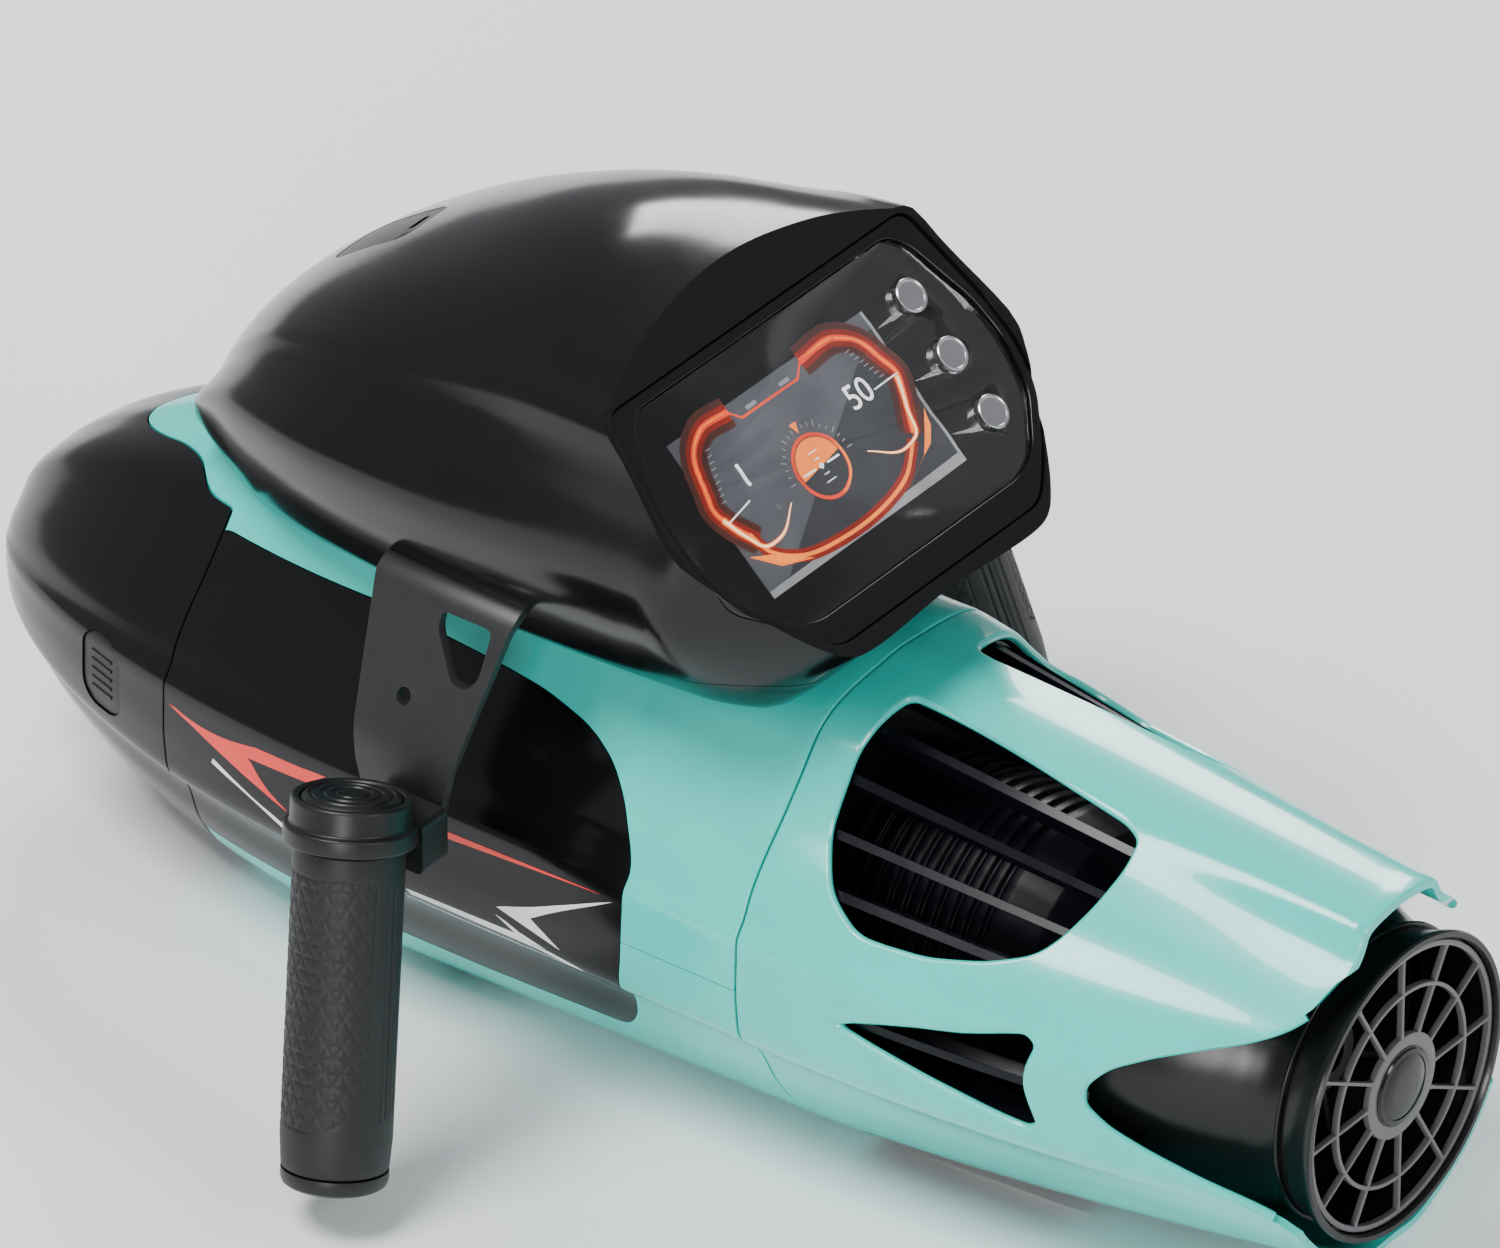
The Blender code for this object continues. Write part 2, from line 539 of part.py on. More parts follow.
def along_y(name, profile, finish, segments=16):
    """A solid turned about the hull's axis from (radius, y) points, first to last along Y."""
    return place(name, turned(profile, (0, 0, AXIS_Z), (0, 1, 0), segments), finish)


def ring_along_y(name, profile, finish, segments=16):
    """A ring turned about the hull's axis from a closed outline of (radius, y) points."""
    return place(name, ring_body(profile, (0, 0, AXIS_Z), (0, 1, 0), segments), finish)


def intake_grille():
    """The black cage under the windows: two hoops joined by ribs that run along the hull."""
    steps = [-0.0860, -0.1150, -0.1550, -0.1960]
    loops = [ring(y, RIB_TOP) for y in steps] + [shrunk(ring(y, RIB_TOP), RIB_INNER) for y in steps[::-1]]
    cage = place("intake_grille", tube(loops), SATIN_BLACK)
    gaps = bmesh.new()
    for start, finish in rib_gaps():
        add_sector(gaps, 0.0300, 0.1300, start, finish, 1, -0.1900, -0.0910)
    boolean(cage, helper(place("tool_rib_gaps", gaps, SATIN_BLACK)))


def add_sector(mesh, low, high, start, finish, steps, y_low, y_high):
    """Adds a ring sector about the hull's axis, between two radii and two angles, to a mesh."""
    outline = []
    for radius, order in ((low, 1), (high, -1)):
        for step in range(steps + 1)[::order]:
            turn = start + (finish - start) * step / steps
            outline.append((radius * math.sin(turn), radius * math.cos(turn)))
    piece = prism(outline, Vector((0, 0, AXIS_Z)), Vector((1, 0, 0)), Vector((0, 0, 1)), Vector((0, 1, 0)),
                  y_low, y_high)
    face_outwards(piece)
    data = bpy.data.meshes.new("sector")
    piece.to_mesh(data)
    piece.free()
    mesh.from_mesh(data)
    bpy.data.meshes.remove(data)


def shrunk(loop, share):
    """A loop scaled towards the hull's axis."""
    return [Vector((p.x * share, p.y, AXIS_Z + (p.z - AXIS_Z) * share)) for p in loop]


def rib_gaps():
    """The angles from the spine between which the cage is open, clockwise seen from the nose's side."""
    edges = [math.radians(8 + RIB_PITCH * i) for i in range(RIB_COUNT)]
    half = math.radians(RIB_HALF_ANGLE)
    gaps = []
    for low, high in zip(edges, edges[1:]):
        gaps.append((low + half, high - half))
        gaps.append((-high + half, -low - half))
    return gaps


def bulkhead():
    """The plate that closes the dry front hull and carries the motor."""
    y = MID_SEAM_Y
    mesh = loft([ring(y + 0.0010, FRONT_WALL + GAP), ring(y + 0.0045, FRONT_WALL + GAP)])
    plate = place("rear_bulkhead", mesh, SATIN_BLACK)
    hole = helper(along_y("tool_bulkhead_hole", [(0.0125, y - 0.01), (0.0125, y + 0.01)], SATIN_BLACK, 16))
    boolean(plate, hole)


def motor():
    """Housing, wound stator, rotor, shaft, two bearings and the shaft seal."""
    front, shoulder, rear = -0.0795, -0.1500, -0.1900
    wall, hub = MOTOR_WALL, HUB_RADIUS + 0.0010
    ring_along_y("motor_housing", [
        (0.0115, rear), (hub, rear), (0.0230, -0.1830), (0.0340, -0.1700), (0.0420, -0.1570),
        (MOTOR_RADIUS, shoulder), (MOTOR_RADIUS, front), (0.0125, front), (0.0125, front - 0.0050),
        (MOTOR_RADIUS - wall, front - 0.0050), (MOTOR_RADIUS - wall, shoulder), (0.0300, -0.1680),
        (0.0115, -0.1820),
    ], SATIN_BLACK)
    stator = [(0.0265, -0.1340), (0.0412, -0.1340), (0.0412, -0.0900), (0.0265, -0.0900)]
    ring_along_y("motor_stator", stator, COPPER)
    ring_along_y("motor_rotor", [(SHAFT_RADIUS + GAP, -0.1330), (0.0258, -0.1330), (0.0258, -0.0910),
                                 (SHAFT_RADIUS + GAP, -0.0910)], STEEL)
    along_y("drive_shaft", [(SHAFT_RADIUS, -0.2225), (SHAFT_RADIUS, -0.0700)], STEEL, 16)
    for name, start in (("front_bearing", -0.0845), ("rear_bearing", -0.1890)):
        outer = 0.0122 if name == "front_bearing" else 0.0112
        ring_along_y(name, [(SHAFT_RADIUS + GAP, start), (outer, start), (outer, start + 0.0060),
                            (SHAFT_RADIUS + GAP, start + 0.0060)], STEEL, 16)
    ring_along_y("shaft_seal", [(SHAFT_RADIUS + GAP, -0.1935), (0.0140, -0.1935), (0.0140, -0.1903),
                                (SHAFT_RADIUS + GAP, -0.1903)], SILICONE, 16)


def blade(radius_in, radius_out, y_start, y_end, twist, thickness, at):
    """One twisted blade between two radii about the hull's axis."""
    sections = []
    for i in range(4):
        share = i / 3
        radius = radius_in + (radius_out - radius_in) * share
        lean = twist * (1 - 0.35 * share)
        corners = []
        for y, side in ((y_start, -1), (y_end, -1), (y_end, 1), (y_start, 1)):
            around = at + lean * (0.5 if y == y_end else -0.5) + side * thickness / 2 / radius
            corners.append(Vector((radius * math.sin(around), y, AXIS_Z + radius * math.cos(around))))
        sections.append(corners)
    return loft(sections)


def bladed(name, hub_profile, count, radii, y_range, twist, thickness, finish):
    """A hub with its blades as one body."""
    hub = ring_along_y(name, hub_profile, finish, 16)
    for i in range(count):
        mesh = blade(*radii, *y_range, twist, thickness, 2 * math.pi * i / count + 0.2)
        boolean(hub, helper(place(f"tool_{name}_{i}", mesh, finish)), "UNION")
    return hub


def pump():
    """Impeller and its nut, the pump tube round it, and the guide vanes behind it."""
    bore = SHAFT_RADIUS + 2 * GAP
    bladed("impeller", [(bore, -0.2160), (HUB_RADIUS, -0.2160), (HUB_RADIUS, -0.1950), (bore, -0.1950)],
           BLADES, (HUB_RADIUS - 0.001, PUMP_BORE - 0.0010), (-0.2140, -0.1970), 0.75, 0.0022, STEEL)
    nut = [(bore, -0.2215), (0.0090, -0.2215), (0.0090, -0.2163), (bore, -0.2163)]
    ring_along_y("impeller_nut", nut, STEEL, 12)
    ring_along_y("pump_housing", [(PUMP_BORE, -0.2220), (PUMP_BORE + 0.0025, -0.2220),
                                  (PUMP_BORE + 0.0025, -0.1970), (PUMP_BORE, -0.1970)], SATIN_BLACK)
    vane_hub = [(0.0060, -0.2420), (0.0110, -0.2420), (0.0155, -0.2320), (0.0155, -0.2250), (0.0060, -0.2250)]
    vanes = bladed("guide_vanes", vane_hub,
                   VANES, (0.0120, 0.0440), (-0.2380, -0.2260), -0.25, 0.0020, SATIN_BLACK)
    hoop = ring_body([(0.0432, -0.2395), (0.0450, -0.2395), (0.0450, -0.2245), (0.0432, -0.2245)],
                     (0, 0, AXIS_Z), (0, 1, 0))
    boolean(vanes, helper(place("tool_vane_hoop", hoop, SATIN_BLACK)), "UNION")


def outlet_nozzle():
    """The black tail: it fills the teal shell ahead, pulls in and flares to the round rim."""
    loops = []
    for y, wide, high in NOZZLE_OUTSIDE:
        loops.append(oval(y, wide, high))
    for y, wide, high in NOZZLE_INSIDE:
        loops.append(oval(y, wide, high))
    place("outlet_nozzle", tube(loops), GLOSS_BLACK)


def oval(y, wide, high, count=28):
    turns = [2 * math.pi * i / count for i in range(count)]
    return [Vector((wide * math.sin(turn), y, AXIS_Z + high * math.cos(turn))) for turn in turns]


def outlet_grille():
    """Spokes and a middle hoop that keep fingers out of the jet, with a cap on the hub."""
    disc = along_y("outlet_grille", [(GRILLE_RADIUS, y) for y in GRILLE_Y], SATIN_BLACK, 36)
    bands = ((0.0173, 0.0320), (0.0334, 0.0448))
    mesh = bmesh.new()
    for i in range(SPOKES):
        middle = 2 * math.pi * (i + 0.5) / SPOKES
        for low, high in bands:
            half = math.pi / SPOKES - SPOKE_WIDTH / (low + high)
            add_sector(mesh, low, high, middle - half, middle + half, 2, -0.2750, -0.2600)
    boolean(disc, helper(place("tool_grille_gaps", mesh, SATIN_BLACK)))
    along_y("grille_hub_cap", [(0.0115, RIM_Y), (0.0130, RIM_Y + 0.0010), (0.0130, GRILLE_Y[0] - GAP)],
            GLOSS_BLACK)


# ---------------------------------------------------------------- battery and controller


def box(y_low, y_high, half_x, half_z, bevel, centre_z=AXIS_Z):
    """A prism along Y with cut corners."""
    x, z, b = half_x, half_z, bevel
    top_half = [(x, z - b), (x - b, z), (-x + b, z), (-x, z - b)]
    outline = top_half + [(x, -z) for x, z in reversed(top_half)]
    return prism(outline, Vector((0, 0, centre_z)), Vector((1, 0, 0)), Vector((0, 0, 1)), Vector((0, 1, 0)),
                 y_low, y_high)


def battery():
    """The bay in the hull, and the pack that slides out of it: case, lid, folding handle and connector."""
    flange = loft([ring(y, FRONT_WALL + GAP) for y in (0.1400, 0.1425)])
    bay = place("battery_bay", box(-0.0680, 0.1420, *BAY_HALF, 0.0080), SATIN_BLACK)
    boolean(bay, helper(place("tool_bay_flange", flange, SATIN_BLACK)), "UNION")
    inside = box(-0.0620, 0.1600, BAY_HALF[0] - BAY_WALL, BAY_HALF[1] - BAY_WALL, 0.0070)
    boolean(bay, helper(place("tool_bay_inside", inside, SATIN_BLACK)))
    place("bay_connector", box(-0.0617, -0.0560, 0.0160, 0.0080, 0.0010, AXIS_Z - 0.0150), SATIN_BLACK)
    place("battery_connector", box(-0.0556, -0.0523, 0.0160, 0.0080, 0.0010, AXIS_Z - 0.0150), SATIN_BLACK)
    place("battery_case", box(*BATTERY_Y, *BATTERY_HALF, 0.0060), BATTERY_GREY)
    lid = place("battery_lid", box(BATTERY_Y[1] + GAP, LID_FRONT_Y, BATTERY_HALF[0] - 0.0010,
                                   BATTERY_HALF[1] - 0.0010, 0.0060), BATTERY_GREY)
    for name, sign in sides():
        outline = [(0.1380, 0.0), (0.1480, 0.0), (0.1480, 0.0060), (0.1380, 0.0060)]
        mesh = prism(outline, Vector((0, 0, HANDLE_AXIS_Z - 0.0030)), Vector((0, 1, 0)), Vector((0, 0, 1)),
                     Vector((sign, 0, 0)), 0.0340, 0.0385)
        boolean(lid, helper(place(f"tool_handle_ear_{name}", mesh, BATTERY_GREY)), "UNION")
    handle()


def handle():
    """The carrying bail, folded down flat in front of the lid."""
    low, high = HANDLE_AXIS_Z - 0.0450, HANDLE_AXIS_Z + 0.0020
    outline = [(-0.0335, high), (-0.0335, low + 0.0080), (-0.0260, low), (0.0260, low), (0.0335, low + 0.0080),
               (0.0335, high), (0.0265, high), (0.0265, low + 0.0110), (0.0220, low + 0.0070),
               (-0.0220, low + 0.0070), (-0.0265, low + 0.0110), (-0.0265, high)]  # fmt: skip
    mesh = prism(outline, Vector(), Vector((1, 0, 0)), Vector((0, 0, 1)), Vector((0, 1, 0)),
                 HANDLE_AXIS_Y - 0.0020, HANDLE_AXIS_Y + 0.0020)
    place("battery_handle", mesh, BATTERY_GREY)


def controller():
    mesh = prism([(-0.0330, 0), (0.0330, 0), (0.0330, 0.0180), (0.0250, 0.0240), (-0.0250, 0.0240),
                  (-0.0330, 0.0180)], Vector((0, 0, AXIS_Z + BAY_HALF[1] + 0.0010)), Vector((1, 0, 0)),
                 Vector((0, 0, 1)), Vector((0, 1, 0)), -0.0600, 0.0500)
    place("controller_box", mesh, GREY_METAL)


# ---------------------------------------------------------------- display pod


def pod_half(y):
    """(x, z) of the pod at a station, from its crown down to its floor."""
    crown = table(POD_CROWN, y)
    shoulder_x, shoulder_z = table(POD_SHOULDER_X, y), table(POD_SHOULDER_Z, y)
    wide_x, wide_z = table(POD_WIDE_X, y), table(POD_WIDE_Z, y)
    floor_x, floor_z = table(POD_FLOOR_X, y), table(POD_FLOOR_Z, y)
    mid = (0.50 * shoulder_x + 0.50 * wide_x, (shoulder_z + wide_z) / 2)
    return [
        (0, crown),
        (0.35 * shoulder_x, crown - 0.10 * (crown - shoulder_z)),
        (0.68 * shoulder_x, crown - 0.38 * (crown - shoulder_z)),
        (0.90 * shoulder_x, crown - 0.76 * (crown - shoulder_z)),
        (shoulder_x, shoulder_z),
        (shoulder_x + 0.25 * (mid[0] - shoulder_x), shoulder_z + 0.35 * (mid[1] - shoulder_z)),
        mid,
        (wide_x, wide_z + 0.12 * (mid[1] - wide_z)),
        (0.985 * wide_x, wide_z - 0.18 * (wide_z - floor_z)),
        (floor_x + 0.62 * (wide_x - floor_x), wide_z - 0.62 * (wide_z - floor_z)),
        (floor_x + 0.22 * (wide_x - floor_x), floor_z + 0.08 * (wide_z - floor_z)),
        (floor_x, floor_z),
        (0, floor_z),
    ]


def table(points, y):
    """Reads a value between (y, value) points with a smooth curve through them."""
    if y >= points[0][0]:
        return points[0][1]
    for i in range(len(points) - 1):
        (y0, a), (y1, b) = points[i], points[i + 1]
        if y >= y1:
            before = points[i - 1] if i else points[0]
            after = points[i + 2] if i + 2 < len(points) else points[-1]
            slope0 = (b - before[1]) / (y1 - before[0])
            slope1 = (after[1] - a) / (after[0] - y0)
            t = (y - y0) / (y1 - y0)
            run = y1 - y0
            return ((2 * t**3 - 3 * t**2 + 1) * a + (t**3 - 2 * t**2 + t) * run * slope0
                    + (3 * t**2 - 2 * t**3) * b + (t**3 - t**2) * run * slope1)
    return points[-1][1]


def pod_ring(y, depth=0.0):
    half = inset(pod_half(y), depth) if depth else pod_half(y)
    port_half = [(-x, z) for x, z in half[-2:0:-1]]
    return [Vector((x, y, z)) for x, z in half + port_half]


def pod_solid(depth=0.0, front=None):
    steps = [y for y in POD_STATIONS if front is None or y < front]
    return loft([pod_ring(y, depth) for y in steps])


def face_point(u, v, out=0.0):
    return Vector((u, 0, 0)) + FACE_CENTRE + FACE_DOWN * v + FACE_OUT * out


def face_prism(outline, low, high):
    """An outline on the display's plane, (across, down), between two heights above that plane."""
    return prism(outline, FACE_CENTRE, Vector((1, 0, 0)), FACE_DOWN, FACE_OUT, low, high)


def pod():
    """Upper cover and lower tray, cut by the display's plane at the rear."""
    rim = face_point(0, 0, POD_RIM_OUT)
    cover = place("pod_upper_cover", sliced(sliced(pod_solid(), rim, FACE_OUT),
                                            Vector((0, 0, POD_SPLIT_Z)), Vector((0, 0, -1))), GLOSS_BLACK)
    boolean(cover, helper(place("tool_pod_inside", pod_solid(POD_WALL, 0.1600), SATIN_BLACK)))
    opening = face_prism(grow_outline(mirrored(BEZEL_HALF), GAP), -0.0062, 0.0200)
    boolean(cover, helper(place("tool_bezel_seat", opening, SATIN_BLACK)))
    below = Vector((0, 0, POD_SPLIT_Z - GAP))
    lower_half = sliced(sliced(pod_solid(), rim, FACE_OUT), below, Vector((0, 0, 1)))
    tray = place("pod_lower_tray", lower_half, SATIN_BLACK)
    inside = loft([pod_ring(y, POD_WALL) for y in POD_STATIONS if -0.0800 < y < 0.1500])
    boolean(tray, helper(place("tool_tray_inside", inside, SATIN_BLACK)))
    hull = helper(place("tool_hull_clearance", hull_and_nose_path(), SATIN_BLACK))
    boolean(tray, hull)
    boolean(cover, hull)
    for side, sign in sides():
        slot = bracket_body(f"tool_bracket_slot_{side}", sign, 2 * GAP)
        boolean(tray, helper(slot))
        boolean(cover, slot)
    accessory_cover(cover)


def hull_and_nose_path():
    """The hull with clearance, and ahead of the front seam the path along which the nose cap slides off."""
    sections = [ring(y, -2 * GAP) for y in (MID_SEAM_Y - 0.0200, *FRONT_STATIONS)]
    return loft([*sections, [Vector((p.x, NOSE_TIP_Y, p.z)) for p in sections[-1]]])


def accessory_cover(cover):
    """The flush cover over the accessory socket on the pod's crown."""
    outline = [(ACCESSORY_Y + v, u) for u, v in rounded_rectangle(0.0240, 0.0300, 0.0060)]
    axes = Vector(), Vector((0, 1, 0)), Vector((1, 0, 0)), Vector((0, 0, 1))
    hole = prism(grow_outline(outline, GAP), *axes, 0.1900, 0.2900)
    boolean(cover, helper(place("tool_accessory_hole", hole, SATIN_BLACK)))
    skin = loft([pod_ring(y, 0.0002) for y in POD_STATIONS if 0.04 < y < 0.17])
    plug = place("accessory_cover", skin, GLOSS_BLACK)
    shape = prism(outline, *axes, 0.1900, 0.2900)
    boolean(plug, helper(place("tool_accessory_plug", shape, SATIN_BLACK)), "INTERSECT")
    core = loft([pod_ring(y, 0.0032) for y in POD_STATIONS if 0.04 < y < 0.17])
    boolean(plug, helper(place("tool_accessory_core", core, SATIN_BLACK)))


def display():
    """Bezel, glass, three metal buttons, the screen and its board."""
    frame = face_prism(mirrored(BEZEL_HALF), -0.0060, POD_RIM_OUT - 0.0008)
    bezel = place("display_bezel", frame, GLOSS_BLACK)
    seat = face_prism(grow_outline(mirrored(GLASS_HALF), GAP), -0.0100, 0.0100)
    boolean(bezel, helper(place("tool_glass_seat", seat, GLASS)))
    glass = place("display_glass", face_prism(mirrored(GLASS_HALF), -0.0028, -0.0008), GLASS)
    for number, v in enumerate(BUTTON_V, 1):
        hole = face_prism(circle(BUTTON_RADIUS + GAP, (BUTTON_U, v)), -0.0100, 0.0100)
        boolean(glass, helper(place(f"tool_button_hole_{number}", hole, GLASS)))
        cap = face_prism(circle(BUTTON_RADIUS, (BUTTON_U, v)), -0.0050, 0.0014)
        place(f"menu_button_{number}", cap, STEEL)
    width, height = SCREEN_SIZE
    left, right = SCREEN_CENTRE_U - width / 2, SCREEN_CENTRE_U + width / 2
    outline = [(left, -height / 2), (right, -height / 2), (right, height / 2), (left, height / 2)]
    place("display_panel", face_prism(outline, -0.0058, -0.0031), GLASS)
    board = [(-0.0580, -0.0320), (0.0620, -0.0320), (0.0620, 0.0320), (-0.0580, 0.0320)]
    place("display_board", face_prism(board, -0.0088, -0.0072), BOARD)


def headlight():
    """The lamp in the tongue ahead of the pod."""
    axes = Vector(), Vector((0, 1, 0)), Vector((1, 0, 0)), Vector((0, 0, 1))
    outline = [(LAMP_Y + v, u) for u, v in rounded_rectangle(0.0150, 0.0100, 0.0040)]
    shell = bpy.data.objects["hull_shell_upper"]
    hole = prism(grow_outline(outline, GAP), *axes, 0.1000, 0.2000)
    boolean(shell, helper(place("tool_lamp_hole", hole, SATIN_BLACK)))
    lens = place("headlight_lens", loft([ring(y, 0.0003) for y in nose_stations(0.1800, 0.2150, 6)]), GLASS)
    shape = prism(outline, *axes, 0.1150, 0.2000)
    boolean(lens, helper(place("tool_lamp_shape", shape, SATIN_BLACK)), "INTERSECT")
    core = loft([ring(y, 0.0033) for y in nose_stations(0.1750, 0.2200, 7)])
    boolean(lens, helper(place("tool_lamp_core", core, SATIN_BLACK)))


# ---------------------------------------------------------------- brackets and grips


def bracket_body(name, sign, grow=0.0):
    """The bent plate as a strip that follows its path in the XZ plane."""
    half = BRACKET_THICKNESS / 2 + grow
    loops = []
    for i, (x, z) in enumerate(BRACKET_PATH):
        here = Vector((x, z))
        before = (here - Vector(BRACKET_PATH[i - 1])).normalized() if i else None
        after = (Vector(BRACKET_PATH[i + 1]) - here).normalized() if i + 1 < len(BRACKET_PATH) else None
        if before is None:
            run, length = after, 1.0
        elif after is None:
            run, length = before, 1.0
        else:
            run = (before + after).normalized()
            length = 1 / max(0.3, run.dot(after))
        normal = Vector((-run.y, run.x)) * half * length
        ends = grow if i in (0, len(BRACKET_PATH) - 1) else 0
        here = here + run * ends * (-1 if i == 0 else 1)
        rear, front = BRACKET_EDGES[i][0] - grow, BRACKET_EDGES[i][1] + grow
        low, high = here - normal, here + normal
        corners = ((low, rear), (high, rear), (high, front), (low, front))
        loops.append([Vector((sign * p.x, y, p.y)) for p, y in corners])
    return place(name, loft(loops), GREY_METAL)


def bracket(side, sign):
    """A bent plate with its slot window, cable hole and two screws."""
    plate = bracket_body(f"handle_bracket_{side}", sign)
    direction = Vector((sign, 0, 0))
    window = prism(BRACKET_WINDOW, Vector(), Vector((0, 1, 0)), Vector((0, 0, 1)), direction, 0.0700, 0.1300)
    boolean(plate, helper(place(f"tool_bracket_window_{side}", window, GREY_METAL)))
    hole = prism(circle(0.0026, BRACKET_HOLE, 16), Vector(), Vector((0, 1, 0)), Vector((0, 0, 1)), direction,
                 0.0700, 0.1300)
    boolean(plate, helper(place(f"tool_bracket_hole_{side}", hole, GREY_METAL)))
    top = BRACKET_PATH[0][1] + BRACKET_THICKNESS / 2
    for number, y in enumerate((0.0120, 0.0440), 1):
        head = [(0.0040, top + GAP), (0.0040, top + 0.0030)]
        place(f"bracket_screw_{side}_{number}",
              turned(head, (sign * 0.0650, y, 0), (0, 0, 1), 12), STEEL)


def grip(side, sign):
    """Core with its flange and arm, rubber sleeve, end cap and the thumb button in the top."""
    origin, down = GRIP_TOP * MIRROR[sign], GRIP_DOWN * MIRROR[sign]
    core = place(f"grip_core_{side}", turned([
        (0.0186, 0.0010), (0.0186, 0.0090), (0.0205, 0.0094), (0.0205, 0.0150), (GRIP_BORE, 0.0156),
        (GRIP_BORE, 0.1180),
    ], origin, down), SATIN_BLACK)
    arm = prism([(0.0060, 0.1020), (0.0330, 0.1020), (0.0330, 0.1200), (0.0060, 0.1200)], Vector(),
                Vector((0, 1, 0)), Vector((0, 0, 1)), Vector((sign, 0, 0)), 0.1128, 0.1330)
    boolean(core, helper(place(f"tool_grip_arm_{side}", arm, SATIN_BLACK)), "UNION")
    well = turned([(0.0158, -0.0050), (0.0158, 0.0078)], origin, down)
    boolean(core, helper(place(f"tool_button_well_{side}", well, SATIN_BLACK)))
    key = [(0.0120, -0.0002), (0.0150, 0.0010), (0.0155, 0.0040)]
    place(f"throttle_button_{side}", turned(key, origin, down), SATIN_BLACK)
    sleeve = ring_body([
        (GRIP_BORE + GAP, 0.0160), (0.0168, 0.0160), (SLEEVE_RADIUS, 0.0200), (SLEEVE_RADIUS, 0.1080),
        (0.0165, 0.1176), (GRIP_BORE + GAP, 0.1176),
    ], origin, down)
    place(f"grip_sleeve_{side}", sleeve, RUBBER)
    boolean(bpy.data.objects[f"grip_sleeve_{side}"], bpy.data.objects[f"tool_grip_arm_{side}"])
    place(f"grip_end_cap_{side}", turned([(0.0165, 0.1183), (0.0165, 0.1215), (0.0150, 0.1240)], origin, down),
          SATIN_BLACK)
    bracket(side, sign)


# ---------------------------------------------------------------- assembly


def hang(name, point, pieces, parent=None):
    """An empty on a joint's axis, with the pieces that move on it."""
    empty = bpy.data.objects.new(name, None)
    bpy.context.scene.collection.objects.link(empty)
    empty.location = point
    for piece in pieces:
        obj = bpy.data.objects[piece]
        obj.parent = empty
        obj.location = -Vector(point)
    if parent:
        empty.parent = parent
        empty.location = Vector(point) - parent.location
    return empty


def assemble():
    """Hangs every moving piece on its joint and the scooter on its origin."""
    pack = ("battery_case", "battery_lid", "battery_connector")
    slides = hang("joint_battery", (0, BATTERY_Y[0], AXIS_Z), pack)
    hang("joint_battery_handle", (0, HANDLE_AXIS_Y, HANDLE_AXIS_Z), ("battery_handle",), slides)
    nose = hang("joint_nose", (0, FRONT_SEAM_Y, AXIS_Z), ("nose_cap",))
    hang("joint_impeller", (0, -0.2055, AXIS_Z), ("drive_shaft", "motor_rotor", "impeller", "impeller_nut"))
    for side, sign in sides():
        latch = (sign * 0.0600, *LATCH_CENTRE)
        hang(f"joint_latch_{side}", latch, (f"latch_button_{side}",), nose)
        hang(f"joint_throttle_{side}", GRIP_TOP * MIRROR[sign], (f"throttle_button_{side}",))
    for number, v in enumerate(BUTTON_V, 1):
        hang(f"joint_menu_{number}", face_point(BUTTON_U, v), (f"menu_button_{number}",))
    scooter = bpy.data.objects.new("scooter", None)
    bpy.context.scene.collection.objects.link(scooter)
    for obj in bpy.data.objects:
        if obj.parent is None and obj is not scooter:
            obj.parent = scooter
    scooter.location = (0, ORIGIN_SHIFT_Y, 0)


def clear_scene():
    for obj in list(bpy.data.objects):
        bpy.data.objects.remove(obj, do_unlink=True)


def main():
    clear_scene()
    front_shells()
    nose_cap()
    nose_seal()
    side_panels()
    rear_shell()
    intake_grille()
    bulkhead()
    motor()
    pump()
    outlet_nozzle()
    outlet_grille()
    battery()
    controller()
    pod()
    display()
    headlight()
    for side, sign in sides():
        grip(side, sign)
    assemble()


main()
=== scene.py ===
"""Underwater scooter: shells, display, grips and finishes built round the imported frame.

Metres, +Z up, +Y towards the nose. Shapes are drawn in the maker's own stations along the hull and are then
moved by SHIFT, which the frame gives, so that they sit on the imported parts.
"""

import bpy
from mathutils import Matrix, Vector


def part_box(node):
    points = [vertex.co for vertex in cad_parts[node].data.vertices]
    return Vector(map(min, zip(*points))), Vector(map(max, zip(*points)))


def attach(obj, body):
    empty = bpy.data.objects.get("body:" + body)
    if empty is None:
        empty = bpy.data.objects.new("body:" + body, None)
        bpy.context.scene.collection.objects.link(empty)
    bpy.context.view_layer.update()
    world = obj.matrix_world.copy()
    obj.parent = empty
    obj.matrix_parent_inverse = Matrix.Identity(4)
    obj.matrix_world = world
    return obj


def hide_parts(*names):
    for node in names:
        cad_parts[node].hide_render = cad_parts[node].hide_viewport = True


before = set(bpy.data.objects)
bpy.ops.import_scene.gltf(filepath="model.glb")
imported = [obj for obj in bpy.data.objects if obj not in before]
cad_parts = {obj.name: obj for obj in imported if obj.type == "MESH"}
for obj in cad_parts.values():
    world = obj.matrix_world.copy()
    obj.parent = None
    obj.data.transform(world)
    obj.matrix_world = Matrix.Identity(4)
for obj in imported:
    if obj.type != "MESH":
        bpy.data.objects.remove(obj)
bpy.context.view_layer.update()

import logging
import math
from dataclasses import dataclass, field
from enum import Enum
from typing import Callable, Iterable, Sequence

import bmesh
import bpy
import numpy as np
from mathutils import Vector
from mathutils.bvhtree import BVHTree
from mathutils.geometry import delaunay_2d_cdt
from mathutils.interpolate import poly_3d_calc

logging.basicConfig(level=logging.INFO, format="%(message)s")
log = logging.getLogger("scooter")

Pair = tuple[float, float]
GAP = 0.0003
AXIS_Z = 0.071
RIM_Y = -0.2695
SHIFT = Vector((0.0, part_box("grille_hub_cap")[0][1] - RIM_Y, 0.0))
ACROSS, ALONG, UP = Vector((1, 0, 0)), Vector((0, 1, 0)), Vector((0, 0, 1))
SHARP = math.radians(32)


